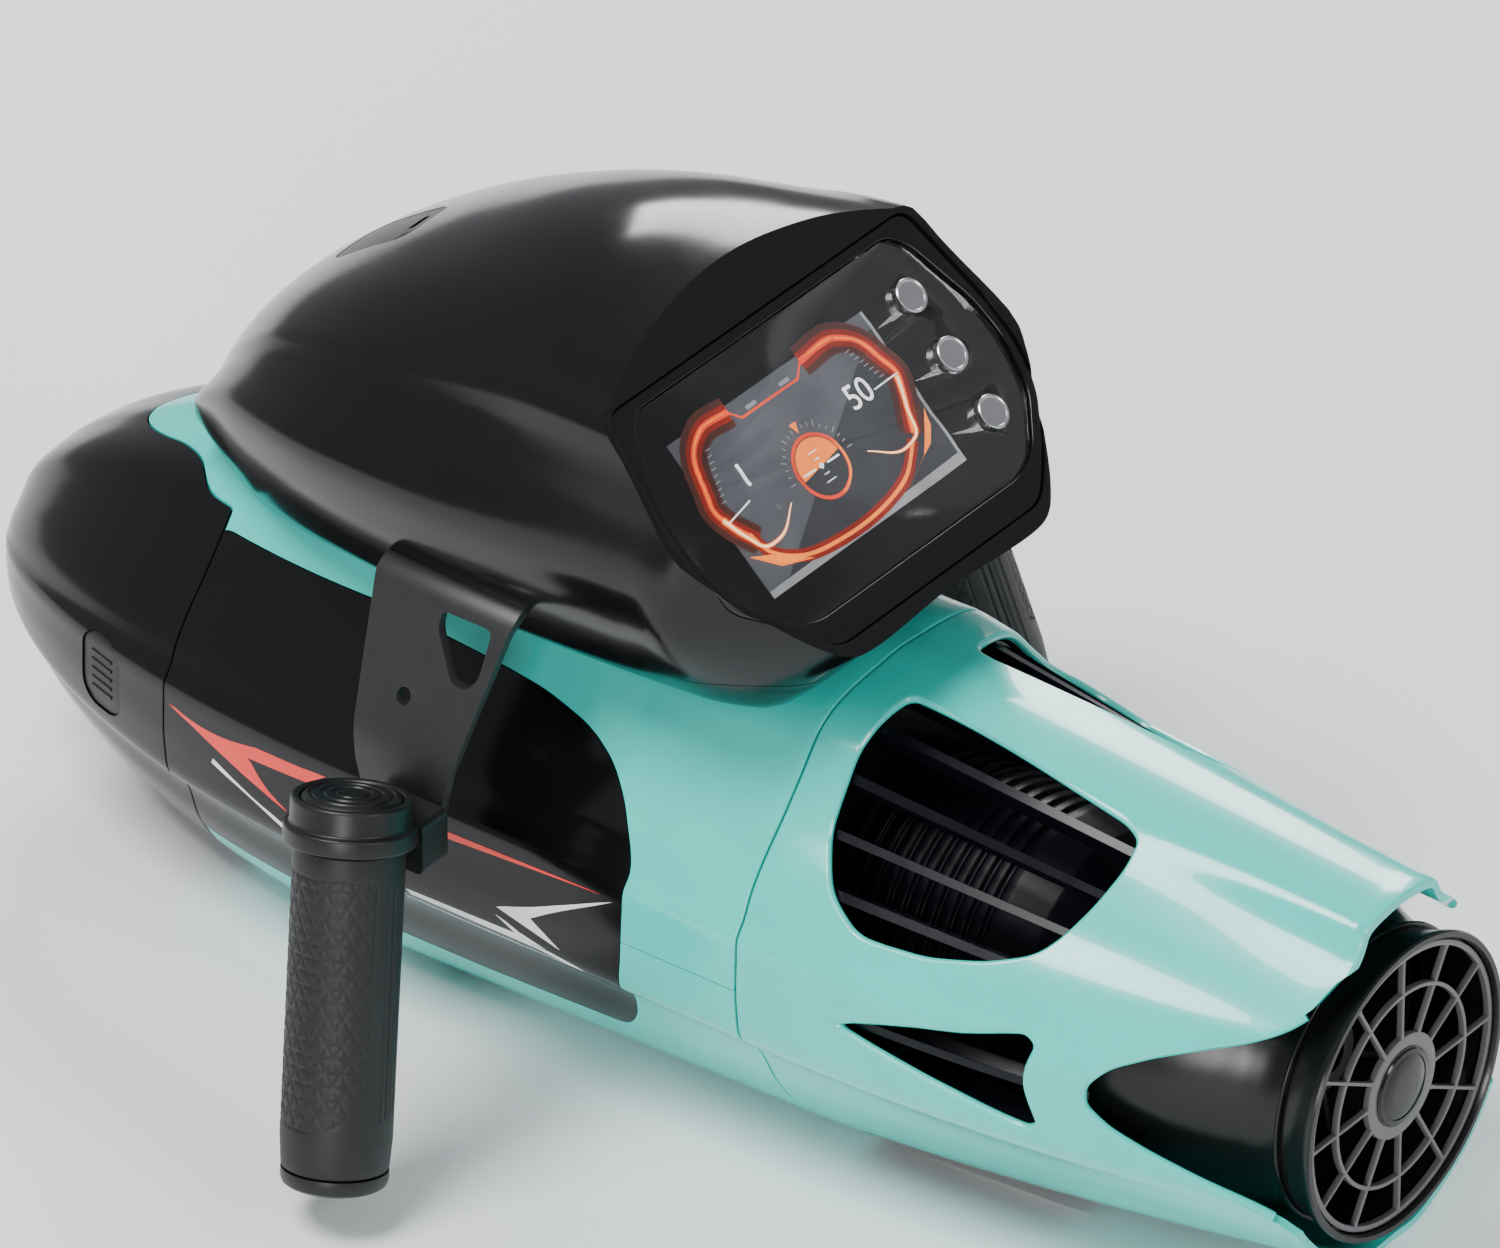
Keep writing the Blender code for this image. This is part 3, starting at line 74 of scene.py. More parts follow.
class Side(Enum):
    """The two sides of the scooter, by the sign of X."""

    LEFT = -1
    RIGHT = 1

    @property
    def word(self) -> str:
        """The side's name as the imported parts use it."""
        return self.name.lower()

    def across(self, point: Sequence[float]) -> Vector:
        """A starboard point brought to this side."""
        return Vector((point[0] * self.value, point[1], point[2]))


# ---------------------------------------------------------------- finishes


@dataclass(frozen=True)
class Finish:
    """A moulded, painted or machined surface with its own mottling, wear and grain."""

    name: str
    slot: str
    colour: tuple[float, float, float]
    roughness: float
    metallic: float = 0.0
    shine: float = 0.5
    coat: float = 0.0
    mottle: float = 0.06
    patch: float = 45.0
    smudge: float = 0.06
    grain: float = 1400.0
    relief: float = 0.000004
    glow: float = 0.0
    clear: float = 0.0
    brushed: bool = False

    def material(self) -> bpy.types.Material:
        """The finish as a material, made once.

        Returns:
            The material, with its nodes.
        """
        made = bpy.data.materials.get(self.name)
        if made:
            return made
        made = bpy.data.materials.new(self.name)
        made.use_nodes = True
        made.diffuse_color = (*self.colour, 1.0)
        nodes, links = made.node_tree.nodes, made.node_tree.links
        shader = nodes["Principled BSDF"]
        shader.inputs["Metallic"].default_value = self.metallic
        shader.inputs["Specular IOR Level"].default_value = self.shine
        shader.inputs["Coat Weight"].default_value = self.coat
        shader.inputs["Coat Roughness"].default_value = 0.04
        shader.inputs["Transmission Weight"].default_value = self.clear
        place = nodes.new("ShaderNodeTexCoord")
        stretch = nodes.new("ShaderNodeMapping")
        stretch.inputs["Scale"].default_value = (1.0, 0.05, 1.0) if self.brushed else (1.0, 1.0, 1.0)
        links.new(place.outputs["Object"], stretch.inputs["Vector"])
        cloud = self._noise(nodes, links, stretch, self.patch, 4.0)
        tint = nodes.new("ShaderNodeValToRGB")
        for stop, share in zip(tint.color_ramp.elements, (1 - self.mottle, 1 + self.mottle)):
            stop.color = (*[min(1.0, part * share) for part in self.colour], 1.0)
        tint.color_ramp.elements[0].position, tint.color_ramp.elements[1].position = 0.35, 0.65
        links.new(cloud.outputs["Fac"], tint.inputs["Fac"])
        links.new(tint.outputs["Color"], shader.inputs["Base Color"])
        wear = self._noise(nodes, links, stretch, self.patch * 2.3, 6.0)
        spread = nodes.new("ShaderNodeMapRange")
        spread.inputs["To Min"].default_value = max(0.02, self.roughness - self.smudge)
        spread.inputs["To Max"].default_value = min(1.0, self.roughness + self.smudge)
        links.new(wear.outputs["Fac"], spread.inputs["Value"])
        links.new(spread.outputs["Result"], shader.inputs["Roughness"])
        grain = self._noise(nodes, links, stretch, self.grain, 2.0)
        bump = nodes.new("ShaderNodeBump")
        bump.inputs["Distance"].default_value = self.relief
        links.new(grain.outputs["Fac"], bump.inputs["Height"])
        links.new(bump.outputs["Normal"], shader.inputs["Normal"])
        if self.glow:
            shader.inputs["Emission Strength"].default_value = self.glow
            links.new(tint.outputs["Color"], shader.inputs["Emission Color"])
        return made

    @staticmethod
    def _noise(nodes: bpy.types.Nodes, links: bpy.types.NodeLinks, stretch: bpy.types.ShaderNode,
               scale: float, detail: float) -> bpy.types.ShaderNode:
        """A noise texture on the piece's own coordinates."""
        node = nodes.new("ShaderNodeTexNoise")
        node.inputs["Scale"].default_value = scale
        node.inputs["Detail"].default_value = detail
        links.new(stretch.outputs["Vector"], node.inputs["Vector"])
        return node


TEAL = Finish("gloss teal shell", "teal_shell", (0.028, 0.600, 0.520), 0.24,
              coat=0.45, smudge=0.04, mottle=0.03)
GLOSS_BLACK = Finish("gloss black shell", "gloss_black", (0.0030, 0.0031, 0.0035), 0.16,
                     shine=0.36, smudge=0.03)
NOZZLE_BLACK = Finish("nozzle black", "gloss_black", (0.0040, 0.0040, 0.0042), 0.26, shine=0.34)
CAGE_BLACK = Finish("cage black", "satin_black", (0.0030, 0.0034, 0.0060), 0.24, shine=0.20)
HOUSING_BLACK = Finish("motor housing black", "satin_black", (0.0016, 0.0020, 0.0038), 0.34, shine=0.10)
SATIN_BLACK = Finish("satin black moulding", "satin_black", (0.0060, 0.0060, 0.0065), 0.40, shine=0.38)
GRILLE_GREY = Finish("grille grey", "satin_black", (0.100, 0.100, 0.104), 0.34, shine=0.45)
BRACKET_GREY = Finish("painted bracket", "bracket_grey", (0.0150, 0.0150, 0.0155), 0.42,
                      shine=0.45, relief=0.00001)
RUBBER = Finish("grip rubber", "grip_rubber", (0.0060, 0.0060, 0.0064), 0.52,
                shine=0.40, relief=0.00001, grain=2200.0)
STEEL = Finish("bare steel", "bare_steel", (0.52, 0.52, 0.53), 0.28, metallic=1.0, brushed=True)
# darker copy of the key steel: painted shade for the dark sectors of the keys' spun faces
SPUN_SHADE_METAL = Finish("shaded metal", "bare_steel", (0.16, 0.16, 0.17), 0.35, metallic=1.0)
COPPER = Finish("copper winding", "copper_winding", (0.62, 0.27, 0.13), 0.35, metallic=1.0, brushed=True)
BATTERY = Finish("battery shell", "battery_grey", (0.50, 0.475, 0.56), 0.38, relief=0.00002)
BOARD = Finish("solder mask", "board_green", (0.012, 0.11, 0.045), 0.40, mottle=0.25, patch=240.0)
GLASS = Finish("cover glass", "dark_glass", (0.93, 0.94, 0.95), 0.05, clear=1.0, smudge=0.02, relief=0.000001)
LENS = Finish("lamp lens", "dark_glass", (0.42, 0.44, 0.45), 0.14, metallic=0.6, coat=1.0)
SEAL = Finish("seal rubber", "seal_rubber", (0.020, 0.020, 0.021), 0.60)
PRINT_WHITE = Finish("white print", "gloss_black", (0.78, 0.79, 0.80), 0.35, coat=0.3)
PRINT_RED = Finish("red print", "gloss_black", (0.80, 0.022, 0.008), 0.32, coat=0.3)
SCREEN_DARK = Finish("screen ground", "screen", (0.045, 0.047, 0.054), 0.25, glow=0.55)
SCREEN_HAZE = Finish("screen haze", "screen", (0.105, 0.110, 0.125), 0.25, glow=0.60)
SCREEN_EDGE = Finish("screen edge", "screen", (0.46, 0.47, 0.48), 0.30, glow=0.30)
GLOW_FAINT = Finish("faint red glow", "screen", (0.075, 0.020, 0.014), 0.30, glow=0.8, mottle=0.2)
GLOW_DEEP = Finish("deep red glow", "screen", (0.26, 0.014, 0.004), 0.30, glow=0.9, mottle=0.2)
GLOW_RED = Finish("red glow", "screen", (0.85, 0.050, 0.008), 0.30, glow=1.3, mottle=0.2)
GLOW_ORANGE = Finish("orange glow", "screen", (1.0, 0.21, 0.018), 0.30, glow=1.6, mottle=0.1)
GLOW_HOT = Finish("hot core", "screen", (1.0, 0.72, 0.42), 0.30, glow=2.2)
GLOW_WHITE = Finish("lit figures", "screen", (0.95, 0.96, 1.0), 0.30, glow=1.5)
GLOW_GREY = Finish("dim ticks", "screen", (0.30, 0.31, 0.34), 0.30, glow=0.7)


# ---------------------------------------------------------------- curves and meshes


def refine(points: Sequence[Sequence[float]], step: float, closed: bool = True) -> np.ndarray:
    """A smooth curve through the points.

    Args:
        points: corners of the curve.
        step: about how far apart the new points are.
        closed: whether the last point joins the first.

    Returns:
        The new points, which include the old ones.
    """
    given = np.asarray(points, dtype=float)
    spans = span_lengths(given, closed)
    counts = [max(1, round(length / step)) for length in spans]
    return blend_weights(spans, counts, closed) @ given


def span_lengths(points: np.ndarray, closed: bool) -> np.ndarray:
    """The distances between neighbouring points."""
    after = np.roll(points, -1, axis=0)
    lengths = np.linalg.norm(after - points, axis=1)
    return lengths if closed else lengths[:-1]


def blend_weights(spans: np.ndarray, counts: Sequence[int], closed: bool) -> np.ndarray:
    """Weights that turn corner points into points of a smooth curve through them.

    Args:
        spans: distance from each point to the next.
        counts: number of steps in each span.
        closed: whether the curve joins up.

    Returns:
        A matrix with a row for each new point and a column for each corner.
    """
    total = len(spans) if closed else len(spans) + 1
    slopes = np.zeros((total, total))
    for i in range(total):
        before, after = (i - 1) % total, (i + 1) % total
        if closed or 0 < i < total - 1:
            low, high = spans[i - 1], spans[i % len(spans)]
            slopes[i, before] -= high / low / (low + high)
            slopes[i, i] += high / low / (low + high) - low / high / (low + high)
            slopes[i, after] += low / high / (low + high)
        elif i == 0:
            slopes[0, :2] = (-1 / spans[0], 1 / spans[0])
        else:
            slopes[-1, -2:] = (-1 / spans[-1], 1 / spans[-1])
    rows = []
    for i, (span, count) in enumerate(zip(spans, counts)):
        following = (i + 1) % total
        for t in np.arange(count) / count:
            row = (t**3 - 2 * t**2 + t) * span * slopes[i] + (t**3 - t**2) * span * slopes[following]
            row[i] += 2 * t**3 - 3 * t**2 + 1
            row[following] += 3 * t**2 - 2 * t**3
            rows.append(row)
    if not closed:
        rows.append(np.eye(total)[-1])
    return np.array(rows)


def inward(section: np.ndarray, depth: float) -> np.ndarray:
    """A closed section moved inwards, square to its own outline."""
    if not depth:
        return section
    run = np.roll(section, -1, axis=0) - np.roll(section, 1, axis=0)
    run /= np.linalg.norm(run, axis=1)[:, None] + 1e-12
    return section + np.column_stack([run[:, 1], -run[:, 0]]) * depth


def mesh_of(name: str, verts: Iterable, faces: Iterable) -> bpy.types.Mesh:
    """A mesh with its faces turned outwards."""
    mesh = bpy.data.meshes.new(name)
    mesh.from_pydata([tuple(v) for v in verts], [], [tuple(f) for f in faces])
    work = bmesh.new()
    work.from_mesh(mesh)
    bmesh.ops.recalc_face_normals(work, faces=work.faces)
    if work.calc_volume(signed=True) < 0:
        bmesh.ops.reverse_faces(work, faces=work.faces)
    work.to_mesh(mesh)
    work.free()
    return mesh


def loft(name: str, rows: Sequence[np.ndarray], joined: bool = False) -> bpy.types.Mesh:
    """A skin over closed rings.

    Args:
        name: the mesh's name.
        rows: rings with the same number of points.
        joined: whether the last ring joins the first; the ends are closed otherwise.

    Returns:
        The mesh.
    """
    count = len(rows[0])
    verts = [point for row in rows for point in row]
    faces = []
    for r in range(len(rows) if joined else len(rows) - 1):
        here, there = r * count, (r + 1) % len(rows) * count
        faces += [(here + i, here + (i + 1) % count, there + (i + 1) % count, there + i) for i in range(count)]
    if not joined:
        faces.append(tuple(range(count))[::-1])
        faces.append(tuple((len(rows) - 1) * count + i for i in range(count)))
    return mesh_of(name, verts, faces)


def lathe(name: str, profile: Sequence[Pair], origin: Vector, axis: Vector, segments: int = 72,
          ring: bool = False) -> bpy.types.Mesh:
    """A profile of (radius, distance along the axis) turned full circle.

    Args:
        name: the mesh's name.
        profile: the outline, from one end to the other.
        origin: where distance 0 lies on the axis.
        axis: the direction of turning.
        segments: number of facets.
        ring: whether the profile closes on itself.

    Returns:
        The mesh.
    """
    side = axis.orthogonal().normalized()
    other = axis.cross(side)
    rows = []
    for radius, along in profile:
        turns = [2 * math.pi * i / segments for i in range(segments)]
        centre = origin + axis * along
        rows.append([centre + (side * math.cos(t) + other * math.sin(t)) * radius for t in turns])
    return loft(name, rows, joined=ring)


def softened(profile: Sequence[Pair], radius: float, steps: int = 3, closed: bool = False) -> list[Pair]:
    """A profile whose corners are rounded.

    Args:
        profile: the corners.
        radius: how far from a corner the rounding starts, at most.
        steps: facets in each rounded corner.
        closed: whether the profile joins up; its end points stay otherwise.

    Returns:
        The longer profile.
    """
    points = [Vector(p) for p in profile]
    result = []
    for i, here in enumerate(points):
        if not closed and i in (0, len(points) - 1):
            result.append(tuple(here))
            continue
        before, after = points[i - 1], points[(i + 1) % len(points)]
        reach = min(radius, (before - here).length * 0.45, (after - here).length * 0.45)
        start = here + (before - here).normalized() * reach
        end = here + (after - here).normalized() * reach
        for step in range(steps + 1):
            t = step / steps
            result.append(tuple(start * (1 - t) ** 2 + here * 2 * t * (1 - t) + end * t**2))
    return result


def prism(name: str, outline: Sequence[Pair], origin: Vector, u: Vector, v: Vector, out: Vector,
          low: float, high: float) -> bpy.types.Mesh:
    """An outline pushed along a direction.

    Args:
        name: the mesh's name.
        outline: (u, v) corners.
        origin: where (0, 0) is.
        u: direction of the first coordinate.
        v: direction of the second.
        out: direction of the push.
        low: where the push starts.
        high: where it ends.

    Returns:
        The mesh.
    """
    rows = [[origin + u * a + v * b + out * d for a, b in outline] for d in (low, high)]
    return loft(name, rows)


def slab(name: str, outline: Sequence[Pair], point: Callable[[float, float, float], Vector], low: float,
         high: float, cell: float = 0.0) -> bpy.types.Mesh:
    """A thin layer that follows a surface.

    Args:
        name: the mesh's name.
        outline: (u, v) corners of the layer.
        point: gives the place of (u, v) at a height above the surface.
        low: height of the underside.
        high: height of the top.
        cell: spacing of the inner points that let the layer bend, or 0 for a flat one.

    Returns:
        The mesh.
    """
    flat = [Vector(p) for p in outline]
    inner = []
    if cell:
        low_u, high_u = min(p.x for p in flat), max(p.x for p in flat)
        low_v, high_v = min(p.y for p in flat), max(p.y for p in flat)
        for u in np.arange(low_u + cell / 2, high_u, cell):
            inner += [Vector((u, v)) for v in np.arange(low_v + cell / 2, high_v, cell)]
    verts, _, faces, *_ = delaunay_2d_cdt(flat + inner, [], [list(range(len(flat)))], 1, 1e-7)
    used = sorted({i for face in faces for i in face})
    order = {old: new for new, old in enumerate(used)}
    places = [(verts[i].x, verts[i].y) for i in used]
    faces = [[order[i] for i in face] for face in faces]
    tally: dict[tuple[int, int], int] = {}
    for face in faces:
        for a, b in zip(face, face[1:] + face[:1]):
            tally[(a, b)] = 1
    total = len(places)
    walls = [(b, a, a + total, b + total) for a, b in tally if (b, a) not in tally]
    tops = [tuple(i + total for i in face) for face in faces]
    bottoms = [tuple(face[::-1]) for face in faces]
    points = [point(u, v, low) for u, v in places] + [point(u, v, high) for u, v in places]
    return mesh_of(name, points, bottoms + tops + walls)


def bead(name: str, path: Sequence[Vector], radius: float, closed: bool = True,
         sides: int = 10) -> bpy.types.Mesh:
    """A round bar along a path.

    Args:
        name: the mesh's name.
        path: the middle of the bar.
        radius: the bar's radius.
        closed: whether the path joins up.
        sides: facets round the bar.

    Returns:
        The mesh.
    """
    rows, side = [], None
    for i, here in enumerate(path):
        before = path[i - 1] if closed or i else here
        after = path[(i + 1) % len(path)] if closed or i + 1 < len(path) else here
        run = (after - before).normalized()
        side = (side - run * side.dot(run)).normalized() if side else run.orthogonal().normalized()
        other = run.cross(side)
        turns = [2 * math.pi * k / sides for k in range(sides)]
        rows.append([here + (side * math.cos(t) + other * math.sin(t)) * radius for t in turns])
    if closed:
        first = rows[0][0] - path[0]
        twist = math.atan2(first.dot(other), first.dot(side))
        shift = round(twist / (2 * math.pi) * sides) % sides
        return mesh_of(name, [p for row in rows for p in row], ring_faces(len(rows), sides, shift))
    return loft(name, rows)


def ring_faces(rows: int, sides: int, shift: int) -> list[tuple[int, ...]]:
    """Faces of a closed bar whose last ring meets the first turned by some facets."""
    faces = []
    for r in range(rows):
        last = r == rows - 1
        for i in range(sides):
            a, b = r * sides + i, r * sides + (i + 1) % sides
            if last:
                c, d = (i + 1 - shift) % sides, (i - shift) % sides
            else:
                c, d = (r + 1) * sides + (i + 1) % sides, (r + 1) * sides + i
            faces.append((a, b, c, d))
    return faces


def thing(name: str, mesh: bpy.types.Mesh) -> bpy.types.Object:
    """A mesh as an object in the scene."""
    made = bpy.data.objects.new(name, mesh)
    bpy.context.scene.collection.objects.link(made)
    return made


def settle(target: bpy.types.Object) -> bpy.types.Object:
    """Makes a piece's modifiers part of its mesh."""
    result = bpy.data.meshes.new_from_object(target.evaluated_get(bpy.context.evaluated_depsgraph_get()))
    target.modifiers.clear()
    old, target.data = target.data, result
    bpy.data.meshes.remove(old)
    return target


def taken_mesh(target: bpy.types.Object) -> bpy.types.Mesh:
    """The mesh of a helper object, which is removed."""
    mesh = target.data.copy()
    bpy.data.objects.remove(target)
    return mesh


def carve(target: bpy.types.Object, cutter: bpy.types.Mesh, join: str = "DIFFERENCE") -> bpy.types.Object:
    """Cuts, keeps or joins a shape with another, at once.

    Args:
        target: the piece that changes.
        cutter: the other shape, which is used up.
        join: DIFFERENCE, INTERSECT or UNION.

    Returns:
        The target.
    """
    tool = thing("tool", cutter)
    step = target.modifiers.new("step", "BOOLEAN")
    step.operation, step.solver, step.object = join, "EXACT", tool
    settle(target)
    bpy.data.objects.remove(tool)
    bpy.data.meshes.remove(cutter)
    return target


def add(target: bpy.types.Object, *others: bpy.types.Mesh) -> bpy.types.Object:
    """Puts further meshes into a piece, unjoined."""
    work = bmesh.new()
    work.from_mesh(target.data)
    for other in others:
        work.from_mesh(other)
        bpy.data.meshes.remove(other)
    work.to_mesh(target.data)
    work.free()
    return target


def rounded(target: bpy.types.Object, width: float, segments: int = 2,
            angle: float = 40.0) -> bpy.types.Object:
    """Rounds a piece's sharp edges, at once."""
    step = target.modifiers.new("edges", "BEVEL")
    step.width, step.segments, step.angle_limit = width, segments, math.radians(angle)
    step.use_clamp_overlap = True
    return settle(target)


class Skin:
    """A smooth outer surface that pieces are shaded by and that layers are laid on."""

    def __init__(self, mesh: bpy.types.Mesh) -> None:
        """Keeps the surface's points, faces and normals."""
        self.points = [v.co.copy() for v in mesh.vertices]
        self.faces = [tuple(p.vertices) for p in mesh.polygons if len(p.vertices) == 4]
        self.normals = [v.normal.copy() for v in mesh.vertices]
        self.tree = BVHTree.FromPolygons(self.points, self.faces)
        bpy.data.meshes.remove(mesh)

    def normal(self, place: Vector, index: int) -> Vector:
        """The smooth normal at a place on a face."""
        face = self.faces[index]
        weights = poly_3d_calc([self.points[i] for i in face], place)
        return sum((self.normals[i] * w for i, w in zip(face, weights)), Vector()).normalized()

    def drop(self, start: Vector, direction: Vector, out: float = 0.0) -> Vector:
        """Where a line meets the surface, raised by a height."""
        hit, _, index, _ = self.tree.ray_cast(start, direction)
        if hit is None:
            hit, _, index, _ = self.tree.find_nearest(start)
        return hit + self.normal(hit, index) * out

    def shade(self, mesh: bpy.types.Mesh, reach: float = 0.00006) -> None:
        """Gives a mesh's faces on this surface its smooth normals, and leaves the others.

        Args:
            mesh: the mesh to shade.
            reach: how near the surface a face's corners lie.
        """
        mesh.shade_smooth()
        mesh.set_sharp_from_angle(angle=SHARP)
        found: dict[int, tuple[float, Vector]] = {}
        for vertex in mesh.vertices:
            hit, _, index, gap = self.tree.find_nearest(vertex.co)
            found[vertex.index] = (gap, self.normal(hit, index))
        normals = [corner.vector.copy() for corner in mesh.corner_normals]
        for polygon in mesh.polygons:
            corners = [found[i] for i in polygon.vertices]
            if all(gap < reach and normal.dot(polygon.normal) > 0.8 for gap, normal in corners):
                for loop, (_, normal) in zip(polygon.loop_indices, corners):
                    normals[loop] = normal
        mesh.normals_split_custom_set(normals)


def finish(target: bpy.types.Object, look: Finish, body: str, nodes: Sequence[str] = (),
           skin: Skin | None = None, others: Sequence[Finish] = ()) -> bpy.types.Object:
    """Dresses a piece, moves it into the frame and lets it ride.

    Args:
        target: the piece.
        look: its finish.
        body: the body it moves with.
        nodes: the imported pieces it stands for.
        skin: the smooth surface that it is shaded by, if any.
        others: further finishes for faces with a higher material index.

    Returns:
        The piece.
    """
    mesh = target.data
    mesh.validate()
    mesh.materials.clear()
    for each in (look, *others):
        mesh.materials.append(each.material())
    if not others:
        for polygon in mesh.polygons:
            polygon.material_index = 0
    if skin:
        skin.shade(mesh)
    else:
        mesh.shade_smooth()
        mesh.set_sharp_from_angle(angle=SHARP)
    for vertex in mesh.vertices:
        vertex.co += SHIFT
    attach(target, body)
    if nodes:
        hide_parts(*nodes)
    log.info("%s on %s", target.name, body)
    return target


# ---------------------------------------------------------------- hull


@dataclass
class HullForm:
    """The hull's shape: half sections from spine to keel, and how they change along its length."""

    nose_tip: float = 0.2610
    bulge: float = 0.0707
    front_seam: float = 0.1470
    mid_seam: float = -0.0800
    tail: float = -0.2602
    shell_end: float = -0.2660
    step: float = 0.0030
    body: list[Pair] = field(default_factory=lambda: [
        (0, 0.0830), (0.0090, 0.0824), (0.0398, 0.0750), (0.0503, 0.0627), (0.0587, 0.0528),
        (0.0677, 0.0431), (0.0751, 0.0333), (0.0791, 0.0250), (0.0821, 0.0208), (0.0828, 0.0130),
        (0.0828, -0.0050), (0.0804, -0.0171), (0.0734, -0.0233), (0.0650, -0.0440), (0.0540, -0.0600),
        (0.0385, -0.0710), (0, -0.0710)])
    rear: list[Pair] = field(default_factory=lambda: [
        (0, 0.0680), (0.0110, 0.0670), (0.0235, 0.0560), (0.0330, 0.0480), (0.0410, 0.0400),
        (0.0470, 0.0335), (0.0520, 0.0250), (0.0555, 0.0180), (0.0575, 0.0110), (0.0585, 0.0040),
        (0.0585, -0.0080), (0.0565, -0.0160), (0.0530, -0.0230), (0.0465, -0.0340), (0.0360, -0.0450),
        (0.0200, -0.0545), (0, -0.0575)])
    belly: dict[int, float] = field(default_factory=lambda: {13: 0.0035, 14: 0.0050, 15: 0.0040})
    powers: list[float] = field(default_factory=lambda: [1.0] * 5 + [1.3, 1.6, 1.9] + [2.2] * 5 + [1.4] * 4)

    def __post_init__(self) -> None:
        """Works out the smoothing weights once, and the skin that everything is laid on."""
        ring = self._both(np.array(self.body))
        spans = span_lengths(ring, True)
        self.weights = blend_weights(spans, [max(1, round(s / self.step)) for s in spans], True)
        stations = self.stations(self.shell_end, self.nose_tip - 0.0001)
        self.skin = Skin(loft("skin", [self.ring(y) for y in stations]))

    @staticmethod
    def _both(half: np.ndarray) -> np.ndarray:
        """A half section with its mirror image."""
        return np.vstack([half, half[-2:0:-1] * (-1, 1)])

    def half(self, y: float) -> np.ndarray:
        """The half section at a station, as (x, z above the axis)."""
        body = np.array(self.body)
        if y >= self.bulge:
            return body * math.sqrt(max(0.0, 1 - ((y - self.bulge) / (self.nose_tip - self.bulge)) ** 2))
        slim = 1 - min(1.0, max(0.0, (y - self.mid_seam) / (self.bulge - self.mid_seam)))
        for i, narrower in self.belly.items():
            body[i, 0] -= narrower * slim
        along = min(1.0, max(0.0, (self.mid_seam - y) / (self.mid_seam - self.tail)))
        share = np.array([along**power for power in self.powers])[:, None]
        return body + (np.array(self.rear) - body) * share

    def ring(self, y: float, depth: float = 0.0, shrink: float = 1.0) -> np.ndarray:
        """The whole smooth section at a station.

        Args:
            y: the station.
            depth: how far inwards the section is moved.
            shrink: a scale towards the axis after that.

        Returns:
            The points, in three dimensions.
        """
        flat = inward(self.weights @ self._both(self.half(y)), depth) * shrink
        z = np.maximum(flat[:, 1] + AXIS_Z, depth)
        return np.column_stack([flat[:, 0], np.full(len(flat), y), z])

    def stations(self, start: float, end: float) -> list[float]:
        """Stations between two places, closer together towards the nose's tip."""
        reach = self.nose_tip - self.bulge
        steps = [start]
        while steps[-1] < end:
            ahead = max(0.0, (steps[-1] - self.bulge) / reach)
            steps.append(steps[-1] + 0.0045 * max(0.05, math.sqrt(max(0.0, 1 - ahead**2))))
        return [*steps[:-1], end] if end - steps[-2] > 0.0004 else [*steps[:-2], end]

    def solid(self, start: float, end: float, depth: float = 0.0) -> bpy.types.Mesh:
        """A closed body of the hull's shape between two stations."""
        return loft("hull body", [self.ring(y, depth) for y in self.stations(start, end)])

    def shell(self, start: float, end: float, wall: float, edge: float = 0.0006) -> bpy.types.Mesh:
        """A hollow stretch of hull with rounded ends.

        Args:
            start: its rear station.
            end: its front station.
            wall: its thickness.
            edge: radius of the rounding at both ends.

        Returns:
            The mesh.
        """
        middle = self.stations(start + edge, end - edge)
        turns = [math.pi / 2 * k / 3 for k in range(3)]
        rear = [self.ring(start + edge * (1 - math.sin(t)), edge * (1 - math.cos(t))) for t in turns[::-1]]
        front = [self.ring(end - edge * (1 - math.sin(t)), edge * (1 - math.cos(t))) for t in turns]
        outer = rear[:-1] + [self.ring(y) for y in middle] + front[1:]
        inner = [self.ring(min(end, max(start, y)), wall) for y in (end, *middle[::-1], start)]
        return loft("shell", outer + inner, joined=True)

    def side_point(self, side: Side) -> Callable[[float, float, float], Vector]:
        """Gives the place of a side (y, z) at a height above the hull."""
        return lambda y, z, out: self.skin.drop(Vector((side.value * 0.3, y, z)), ACROSS * -side.value, out)


SIDE_PANEL = [
    (0.1490, 0.1307), (0.0803, 0.1331), (0.0296, 0.1305), (0.0136, 0.1292), (-0.0056, 0.1255),
    (-0.0186, 0.1200), (-0.0277, 0.1130), (-0.0350, 0.1035), (-0.0375, 0.0963), (-0.0370, 0.0895),
    (-0.0366, 0.0696), (-0.0330, 0.0455), (-0.0295, 0.0330), (-0.0224, 0.0250), (0.0300, 0.0235),
    (0.1490, 0.0270)]
TONGUE = [(0.1340, 0.0370), (0.1473, 0.0400), (0.1580, 0.0370), (0.1707, 0.0265), (0.1810, 0.0213),
          (0.1921, 0.0175), (0.2018, 0.0124), (0.2085, 0.0055), (0.2100, 0)]


def grown(outline: Sequence[Pair], distance: float) -> list[Pair]:
    """An outline moved outwards, point by point."""
    area = sum(a[0] * b[1] - b[0] * a[1] for a, b in zip(outline, [*outline[1:], outline[0]]))
    turn = 1 if area > 0 else -1
    result = []
    for i, here in enumerate(outline):
        before, after = Vector(outline[i - 1]), Vector(outline[(i + 1) % len(outline)])
        run = (after - before).normalized()
        result.append((here[0] + run.y * distance * turn, here[1] - run.x * distance * turn))
    return result


def tongue_outline() -> list[Pair]:
    """The whole tongue seen from above, as (y, x)."""
    root = TONGUE[0]
    half = refine(TONGUE[1:], 0.003, closed=False)
    return [root, *map(tuple, half), *[(y, -x) for y, x in half[-2::-1]], (root[0], -root[1])]


def circle(centre: Pair, radius: float, count: int) -> list[Pair]:
    """The outline of a circle."""
    turns = [2 * math.pi * i / count for i in range(count)]
    return [(centre[0] + radius * math.cos(t), centre[1] + radius * math.sin(t)) for t in turns]


def side_cutter(outline: Sequence[Pair], side: Side, inner: float = 0.03,
                outer: float = 0.12) -> bpy.types.Mesh:
    """A side (y, z) outline pushed through one side of the hull."""
    return prism("side cutter", outline, Vector(), ALONG, UP, ACROSS * side.value, inner, outer)


